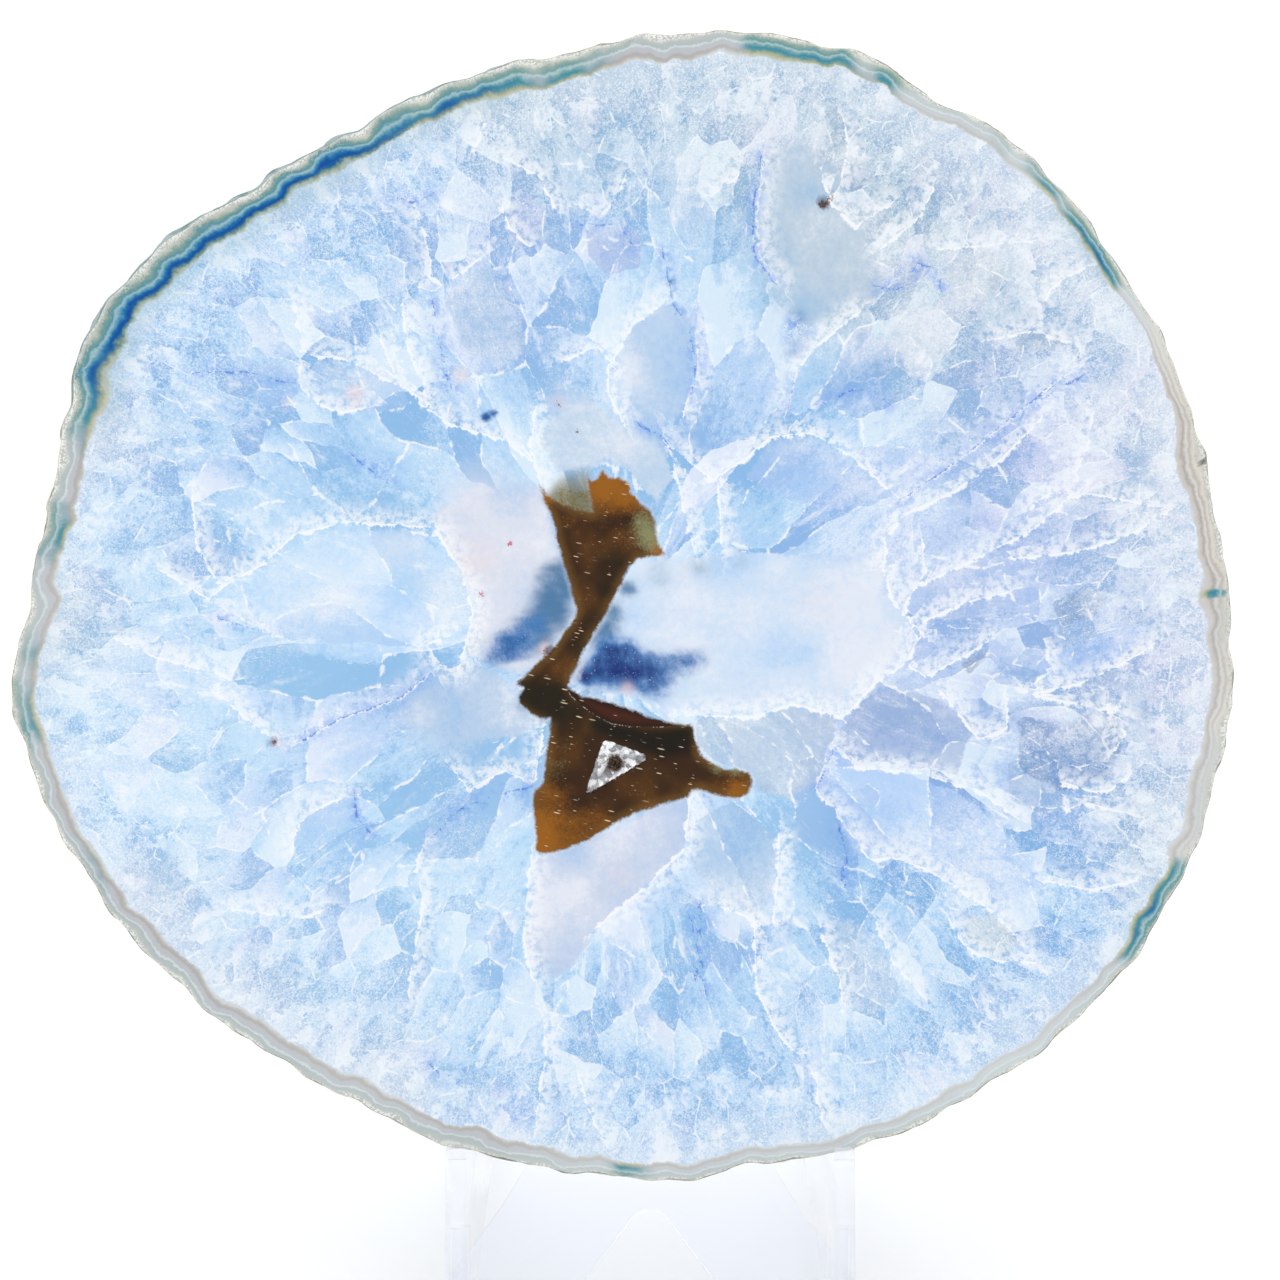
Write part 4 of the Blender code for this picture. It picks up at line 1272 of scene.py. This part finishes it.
def stone_finish():
    """The polished stone: quartz, stains, heart and rind on the faces, rough skin on the rim."""
    finish = Finish("agate_stone")
    place = finish.slice_place()
    torn, grain, fine = (finish.noise(place, *noise, flat=True) for noise in STONE_NOISES)
    noises = (torn, grain, fine)
    colour = quartz_colour(finish, noises)

    # What feathers the stains' edges, and what frays the heart's
    feather = torn.swing(0.6) + grain.swing(0.6) + finish.attribute("tuft").swing(0.6)
    fray = grain.swing(0.8) + fine.swing(0.6)
    colour = ink_stains(finish, noises, feather, colour)
    colour = small_stains(finish, fine, feather, colour)

    heart = finish.attribute("heart")
    fringe = (heart + fray * 1.1 + feather).step(-1.7, -0.3) * finish.attribute("navy").step(0.1, 0.5)
    pale_edge = (heart + fray * 0.8).step(-0.8, -0.1)
    colour = finish.mix(fringe.peak(pale_edge * 0.4) * 0.8, colour, HEART_FRINGE)
    veil = finish.attribute("veil") ** 0.7 * (0.95 + fray * 0.6)
    colour = finish.mix(veil, colour, VEIL_OLIVE)
    inside = (heart + fray * 0.6 + feather * 0.5).step(-0.3, 0.3)
    colour = finish.mix(inside, colour, heart_colour(finish, place, noises))

    rind, across = rind_colour(finish, noises)
    haze = across.step(1.9, 1.0) * finish.attribute("dye").step(0.2, 0.9)
    colour = finish.mix(haze * 0.3, colour, DYE_HAZE)
    colour = finish.mix(across.step(1.08, 0.97), colour, rind)
    rough_rim = finish.attribute("rim")
    colour = finish.mix(rough_rim.step(0.3, 0.8), colour, rim_colour(finish, fine))

    gloss = finish.attribute("gloss")
    return finish.surface(
        Base_Color=finish.times(colour, BODY_LEVEL),
        Roughness=0.2 + rough_rim * 0.5 + (1.0 - gloss) * 0.25,
        IOR=1.54,
        Specular_IOR_Level=0.05,
        Coat_Weight=gloss * 0.2,
        Coat_Roughness=0.03,
        Coat_IOR=1.5,
    )


def crystal_finish():
    """Small white and grey crystals, with painted shade and brown specks that grow down into the
    hollow.
    """
    finish = Finish("quartz_points")
    speck = finish.noise(finish.slice_place(), 2.4, 3.0, 0.7)
    colour = finish.mix(finish.attribute("tone").step(0.05, 0.9), CRYSTAL_GREY, CRYSTAL_WHITE)
    # Painted shade: the crust goes dark and brown with the depth of its hollow, where shade would fall
    deep = (finish.attribute("deep") + speck.swing(0.7)).step(0.32, 0.62)
    hollow = finish.mix(speck.step(0.4, 0.62), HOLLOW_PAINTED_SHADE, HOLLOW_BROWN)
    bump = finish.node("ShaderNodeBump", None, {"Strength": 0.4, "Distance": 0.2 * MM, "Height": speck})
    return finish.surface(
        Base_Color=finish.mix(deep, colour, hollow),
        Roughness=0.14,
        IOR=1.54,
        Coat_Weight=0.5,
        Coat_Roughness=0.05,
        Normal=bump,
    )


def acrylic_finish(settings):
    """Clear cast acrylic with a faint lavender cast."""
    finish = Finish("clear_acrylic")
    place = finish.node("ShaderNodeTexCoord", None, None, "Object")
    smear = finish.noise(place, 60.0, 3.0)
    return finish.surface(
        Base_Color=tuple(settings.cast),
        Roughness=0.01 + smear.step(0.5, 0.9) * 0.03,
        IOR=1.49,
        Transmission_Weight=1.0,
        Alpha=0.35,
    )


# Pieces


def stone_surface():
    """The slice's closed surface: rings that are shares of the front outline, out to the rim,
    rings down the rim, and rings back in to the middle of the back."""
    rings, kinds = [], []

    def add(count, share, level, is_rim):
        """One ring: on a face, at a share of its outline, or round the rim."""
        angle = np.linspace(0.0, math.tau, count, endpoint=False)
        radius = rim_radius(angle, level)
        if not is_rim:
            radius = (radius - POLISHED_EDGE) * share
        w = np.full(count, THICKNESS * (0.5 - level))
        rings.append(np.stack((radius * np.cos(angle), radius * np.sin(angle), w), axis=1))
        kinds.append(np.full(count, 1.0 if is_rim else 0.0))

    for share in INNER_SHARES:
        add(INNER_STEPS, share, 0.0, False)
    for share in (*OUTER_SHARES, 1.0):
        add(OUTER_STEPS, share, 0.0, False)
    for level in RIM_LEVELS:
        add(OUTER_STEPS, 1.0, level, True)
    for share in (1.0, *BACK_OUTER_SHARES):
        add(OUTER_STEPS, share, 1.0, False)
    for share in BACK_INNER_SHARES:
        add(INNER_STEPS, share, 1.0, False)

    starts = np.cumsum([0, *(len(ring) for ring in rings)])
    numbers = [np.arange(start, end) for start, end in zip(starts, starts[1:])]
    tips = np.array(((0.0, 0.0, THICKNESS / 2), (0.0, 0.0, -THICKNESS / 2)))
    faces = [ring_faces(near, far) for near, far in zip(numbers, numbers[1:])]
    faces.append(fan_faces(numbers[0], starts[-1]))
    faces.append(fan_faces(numbers[-1], starts[-1] + 1)[:, ::-1])
    points = np.concatenate((*rings, tips))
    rim = np.concatenate((*kinds, (0.0, 0.0)))
    return points, np.concatenate(faces), rim


def roughened(points, rim, amount):
    """The rim pushed in by noise at three sizes, and both faces' outer edges a little."""
    rough = sum(lattice_noise(points, size, seed) * strength for size, strength, seed in RIM_NOISES)
    angle = np.arctan2(points[:, 1], points[:, 0])
    reach = np.hypot(points[:, 0], points[:, 1])
    inward = front_radius(angle) - reach
    edge = np.exp(-np.maximum(inward, 0.0) / FACE_EDGE_WIDTH)
    push = amount * rough * np.where(rim > 0.5, 1.0, FACE_EDGE_ROUGHNESS * edge)
    shaped = points.copy()
    shaped[:, 0] -= push * np.cos(angle)
    shaped[:, 1] -= push * np.sin(angle)
    return shaped


def hollowed(points):
    """The front pressed in at the pocket and the small pits."""
    shaped = points.copy()
    front = points[:, 2] > THICKNESS / 2 - FRONT_MARGIN
    flat = points[front, :2]
    drop = POCKET_DEPTH * smooth_step(signed_distance(flat, pocket_outline()), *POCKET_WALL)
    for u, v, radius, depth in PITS:
        away = np.linalg.norm(flat - (u, v), axis=1)
        drop = np.maximum(drop, depth * smooth_step(away, radius, radius * PIT_FLOOR_SHARE))
    shaped[front, 2] -= drop
    return shaped


def stone_attributes(points, rim):
    """What the material reads at each vertex: distances, stains, shares and slow noises."""
    flat = points[:, :2]
    angle = np.arctan2(flat[:, 1], flat[:, 0])
    inward = np.maximum(front_radius(angle) - np.hypot(flat[:, 0], flat[:, 1]), 0.0)
    drifted = points + DRIFT_REACH * (three_noises(points, *DRIFT_NOISE) - 0.5)
    bent = drifted + BEND_REACH * (three_noises(points, *BEND_NOISE) - 0.5)
    beside, from_fracture = beside_lines(flat, FRACTURES)
    beside_dyed, from_dyed = beside_lines(flat, DYED_CRACKS)
    clear_row, solid_row = from_photo([(0, row) for row in OLIVE_VEIL_FADE])[:, 1]
    veil = smooth_step(signed_distance(flat, from_photo(OLIVE_VEIL)), *OLIVE_VEIL_EDGE)
    fade = np.clip((flat[:, 1] - clear_row) / (solid_row - clear_row), 0.0, 1.0)
    veil *= OLIVE_VEIL_STRENGTH * fade
    attributes = {
        "inward": inward,
        "drifted": drifted,
        "bent": bent,
        "tuft": layered_noise(points * TUFT_STRETCH, *TUFT_NOISE),
        "rind": inward / closed_curve(RIND_DEPTH, np.degrees(angle)),
        "rim": rim,
        "gloss": np.where(points[:, 2] > 0, 1.0, BACK_GLOSS) * (1.0 - rim),
        "veil": veil,
        "tint": body_tint(flat),
        "beside": beside,
        "from_fracture": from_fracture,
        "beside_dyed": beside_dyed,
        "from_dyed": from_dyed,
    }
    for name, noise in SURFACE_NOISES.items():
        attributes[name] = layered_noise(points, *noise)
    for name, arcs in RIND_ARCS.items():
        attributes[name] = around(angle, arcs)
    for name, outline in OUTLINES.items():
        attributes[name] = signed_distance(flat, from_photo(outline))
    for name, spots in STAINS.items():
        attributes[name] = stain(flat, spots)
    for name, crystals in CRYSTALS.items():
        attributes[name], attributes[name + "_tint"] = crystal_fields(flat, crystals)
    return attributes


def pocket_points(flat, middle, reach_at, count):
    """Height of the six-sided points over each place of the crust, and the tone of the point
    it is on. Each stands its peak less its slope times the largest of the three distances across
    its flats, and their middles lie on a sunflower spiral."""
    random = np.random.default_rng(POINT_SEED)
    turn = np.arange(count) * GOLDEN_TURN
    spread = reach_at(turn) * np.sqrt((np.arange(count) + 0.5) / count)
    seeds = np.stack((spread * np.cos(turn), spread * np.sin(turn)), axis=1) + middle
    size = random.uniform(*POINT_SIZES, count)
    peak = size * random.uniform(*POINT_SLOPES, count)
    spin = random.uniform(0.0, math.pi / 3, count)
    across = np.zeros((len(flat), count))
    offset = flat[:, None] - seeds
    for third in range(3):
        facing = spin + third * math.pi / 3
        flats = offset[..., 0] * np.cos(facing) + offset[..., 1] * np.sin(facing)
        across = np.maximum(across, np.abs(flats))
    height = peak - across / size * peak
    return height.max(axis=1), random.random(count)[height.argmax(axis=1)]


def pocket_surface(settings):
    """The crust: a closed shell over the pocket, of rings that are shares of its outline. Its
    upper side is a hollow, a dish and a bell-shaped hole, with the points standing on it. The
    under side lies a little lower."""
    outline = pocket_outline()
    middle = outline.mean(axis=0)
    away = outline - middle

    def reach_at(direction):
        """How far the outline is from the middle in a direction."""
        stops = np.arctan2(away[:, 1], away[:, 0])
        return np.interp(direction, stops, np.hypot(*away.T), period=math.tau)

    angle = np.linspace(0.0, math.tau, POCKET_STEPS, endpoint=False)
    share = np.linspace(1.0, 0.0, POCKET_RINGS)[:-1]
    radius = share[:, None] * (reach_at(angle) + POCKET_OVERLAP)
    flat = np.stack((radius * np.cos(angle), radius * np.sin(angle)), axis=2).reshape(-1, 2)
    flat = np.vstack((flat, (0.0, 0.0))) + middle
    way_in = 1.0 - np.append(np.repeat(share, POCKET_STEPS), 0.0)

    height, tone = pocket_points(flat, middle, reach_at, settings.crystals)
    hole = np.linalg.norm(flat - from_photo(POCKET_HOLE), axis=1) / POCKET_HOLE_RADIUS
    hollow = POCKET_DISH * smooth_step(way_in, *DISH_GROWTH)
    hollow += (POCKET_HOLLOW - POCKET_DISH) * np.exp(-(hole**2))
    hollow *= smooth_step(way_in, *HOLLOW_GROWTH)
    floor = THICKNESS / 2 - POCKET_DROP - hollow
    standing = np.clip(height, -POINT_SINK, POINT_TALLEST) * smooth_step(way_in, *POINT_GROWTH)
    top = np.minimum(floor + standing, THICKNESS / 2 - CRUST_TOP_GAP)
    under = np.minimum(floor - CRUST_WALL, top - CRUST_LEAST_WALL)

    points = np.vstack((np.column_stack((flat, top)), np.column_stack((flat, under))))
    rings = [np.arange(POCKET_STEPS) + POCKET_STEPS * i for i in range(POCKET_RINGS - 1)]
    half = len(flat)
    faces = [ring_faces(inner, outer) for outer, inner in zip(rings, rings[1:])]
    faces.append(fan_faces(rings[-1], half - 1))
    below = [part[:, ::-1] + half for part in faces]
    sides = ring_faces(rings[0], rings[0] + half)
    attributes = {
        "tone": np.tile(tone, 2),
        # How deep the hollow is, which the material turns into painted shade and brown bits
        "deep": np.tile(hollow / POCKET_HOLLOW, 2),
    }
    return points, np.concatenate((*faces, *below, sides)), attributes


def polished_plate(name, edge_round, material):
    """A copy of one of the easel's plates, its vertices merged and its edges rounded."""
    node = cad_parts[name]
    mesh = node.data.copy()
    mesh.transform(node.matrix_world)
    shell = bmesh.new()
    shell.from_mesh(mesh)
    bmesh.ops.remove_doubles(shell, verts=shell.verts, dist=MERGE_DISTANCE)
    shell.to_mesh(mesh)
    shell.free()
    mesh.materials.clear()
    mesh.materials.append(material)
    plate = bpy.data.objects.new(name + "_acrylic", mesh)
    bpy.context.scene.collection.objects.link(plate)
    mesh.shade_smooth()
    mesh.set_sharp_from_angle(angle=PLATE_SHARP_ANGLE)
    rounding = plate.modifiers.new("rounded_edges", "BEVEL")
    rounding.width = edge_round
    rounding.segments = 2
    rounding.limit_method = "ANGLE"
    rounding.angle_limit = PLATE_SHARP_ANGLE
    rounding.harden_normals = False
    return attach(plate, "root")


# The stage


def light_all_round(scene):
    """Even white light from every side."""
    world = bpy.data.worlds.new("studio")
    world.use_nodes = True
    background = world.node_tree.nodes["Background"]
    background.inputs["Color"].default_value = (1.0, 1.0, 1.0, 1.0)
    background.inputs["Strength"].default_value = WORLD_LEVEL
    scene.world = world


def lay_floor(scene):
    """A wide pale square just under the easel's feet."""
    mesh = bpy.data.meshes.new("floor")
    corners = [
        (x * FLOOR_HALF_SIZE, y * FLOOR_HALF_SIZE, FLOOR_LEVEL)
        for x, y in ((-1, -1), (1, -1), (1, 1), (-1, 1))
    ]
    mesh.from_pydata(corners, [], [(0, 1, 2, 3)])
    mesh.materials.append(Finish("pale_floor").surface(Base_Color=FLOOR_COLOUR, Roughness=0.6))
    floor = bpy.data.objects.new("floor", mesh)
    scene.collection.objects.link(floor)


def hang_lamp(scene):
    """A large soft lamp overhead."""
    light = bpy.data.lights.new("overhead", "AREA")
    light.energy = LAMP_POWER
    light.size = LAMP_SIZE
    lamp = bpy.data.objects.new("overhead", light)
    lamp.location = LAMP_PLACE
    lamp.rotation_euler = (Vector(LAMP_AIM) - lamp.location).to_track_quat("-Z", "Y").to_euler()
    scene.collection.objects.link(lamp)


def place_camera(scene, distance):
    """A camera that looks straight at the polished face, with the reference picture's frame."""
    aim = PICTURE_SIZE / 2
    target = np.array((*from_photo((aim, aim)), THICKNESS / 2))
    face_point = Vector(to_model(target[None])[0])
    normal = Vector(slice_turn() @ (0.0, 0.0, 1.0))
    camera_data = bpy.data.cameras.new("camera")
    camera_data.sensor_width = SENSOR_WIDTH
    camera_data.lens = SENSOR_WIDTH * distance / (PICTURE_SIZE * PICTURE_SCALE * MM)
    camera = bpy.data.objects.new("camera", camera_data)
    camera.location = face_point + normal * distance
    camera.rotation_euler = (math.pi / 2 - LEAN, 0.0, 0.0)
    scene.collection.objects.link(camera)
    scene.camera = camera


# The add-on: settings, operators and panel


class AgateStoneSettings(bpy.types.PropertyGroup):
    """How rough the slice's rind is."""

    roughness: FloatProperty(
        name="Rind roughness", description="How deep the natural skin's lumps and pits are",
        default=0.5 * MM, min=0.0, unit="LENGTH", subtype="DISTANCE",
    )


class AgateEaselSettings(bpy.types.PropertyGroup):
    """Finish of the easel."""

    cast: FloatVectorProperty(
        name="Cast", description="The acrylic's faint colour",
        default=(0.88, 0.91, 1.0), subtype="COLOR", min=0.0, max=1.0,
    )
    edge_round: FloatProperty(
        name="Edge rounding", description="Radius of the polished edges",
        default=0.25 * MM, min=0.0, unit="LENGTH", subtype="DISTANCE",
    )


class AgatePocketSettings(bpy.types.PropertyGroup):
    """The crust of crystals in the pocket."""

    crystals: IntProperty(
        name="Crystals", description="How many crystal points line the pocket", default=120, min=20,
    )


class AgateStageSettings(bpy.types.PropertyGroup):
    """How far the camera stands from the slice."""

    distance: FloatProperty(
        name="Camera distance", description="From the lens to the polished face",
        default=0.45, unit="LENGTH", subtype="DISTANCE",
    )


class AGATE_OT_build_stone(bpy.types.Operator):
    """Make the slice and its material"""

    bl_idname = "agate.build_stone"
    bl_label = "Build Stone"

    def execute(self, context):
        settings = context.scene.agate_stone
        points, faces, rim = stone_surface()
        points = roughened(points, rim, settings.roughness / MM)
        attributes = stone_attributes(points, rim)
        points = to_model(hollowed(points))
        stone = new_piece("polished_agate", points, faces, attributes, stone_finish())
        stone.data.shade_smooth()
        stone.data.set_sharp_from_angle(angle=STONE_SHARP_ANGLE)
        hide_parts("agate_slice")
        return {"FINISHED"}


class AGATE_OT_build_pocket(bpy.types.Operator):
    """Make the crust of crystals in the pocket"""

    bl_idname = "agate.build_pocket"
    bl_label = "Build Pocket"

    def execute(self, context):
        settings = context.scene.agate_pocket
        points, faces, attributes = pocket_surface(settings)
        crust = new_piece("crystal_crust", to_model(points), faces, attributes, crystal_finish())
        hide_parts("pocket_crystals")
        return {"FINISHED"}


class AGATE_OT_build_easel(bpy.types.Operator):
    """Make the easel's three plates"""

    bl_idname = "agate.build_easel"
    bl_label = "Build Easel"

    def execute(self, context):
        settings = context.scene.agate_easel
        material = acrylic_finish(settings)
        for name in ("easel_back", "easel_side_left", "easel_side_right"):
            plate = polished_plate(name, settings.edge_round, material)
            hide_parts(name)
        return {"FINISHED"}


class AGATE_OT_build_stage(bpy.types.Operator):
    """Make the pale floor, the light and the camera"""

    bl_idname = "agate.build_stage"
    bl_label = "Build Stage"

    def execute(self, context):
        settings = context.scene.agate_stage
        scene = context.scene
        scene.view_settings.view_transform = "Standard"
        light_all_round(scene)
        lay_floor(scene)
        hang_lamp(scene)
        place_camera(scene, settings.distance)
        return {"FINISHED"}


class AGATE_PT_panel(bpy.types.Panel):
    """The sidebar's list of pieces."""

    bl_label = "Agate Slice"
    bl_idname = "AGATE_PT_panel"
    bl_space_type = "VIEW_3D"
    bl_region_type = "UI"
    bl_category = "Agate"

    def draw(self, context):
        layout = self.layout
        for group, settings, operator in PANEL_ROWS:
            box = layout.box()
            for name in settings:
                box.prop(getattr(context.scene, group), name)
            box.operator(operator)


PANEL_ROWS = (
    ("agate_stone", ("roughness",), "agate.build_stone"),
    ("agate_pocket", ("crystals",), "agate.build_pocket"),
    ("agate_easel", ("cast", "edge_round"), "agate.build_easel"),
    ("agate_stage", ("distance",), "agate.build_stage"),
)
CLASSES = (
    AgateStoneSettings,
    AgatePocketSettings,
    AgateEaselSettings,
    AgateStageSettings,
    AGATE_OT_build_stone,
    AGATE_OT_build_pocket,
    AGATE_OT_build_easel,
    AGATE_OT_build_stage,
    AGATE_PT_panel,
)
GROUPS = {
    "agate_stone": AgateStoneSettings,
    "agate_pocket": AgatePocketSettings,
    "agate_easel": AgateEaselSettings,
    "agate_stage": AgateStageSettings,
}


def register():
    """Register the classes and put their settings on the scene."""
    for item in CLASSES:
        bpy.utils.register_class(item)
    for name, group in GROUPS.items():
        setattr(bpy.types.Scene, name, PointerProperty(type=group))


def unregister():
    """Take the settings and the classes away again."""
    for name in GROUPS:
        delattr(bpy.types.Scene, name)
    for item in reversed(CLASSES):
        bpy.utils.unregister_class(item)


def main():
    """Build every piece and the stage."""
    register()
    bpy.ops.agate.build_stone()
    bpy.ops.agate.build_pocket()
    bpy.ops.agate.build_easel()
    bpy.ops.agate.build_stage()


if __name__ == "__main__":
    main()
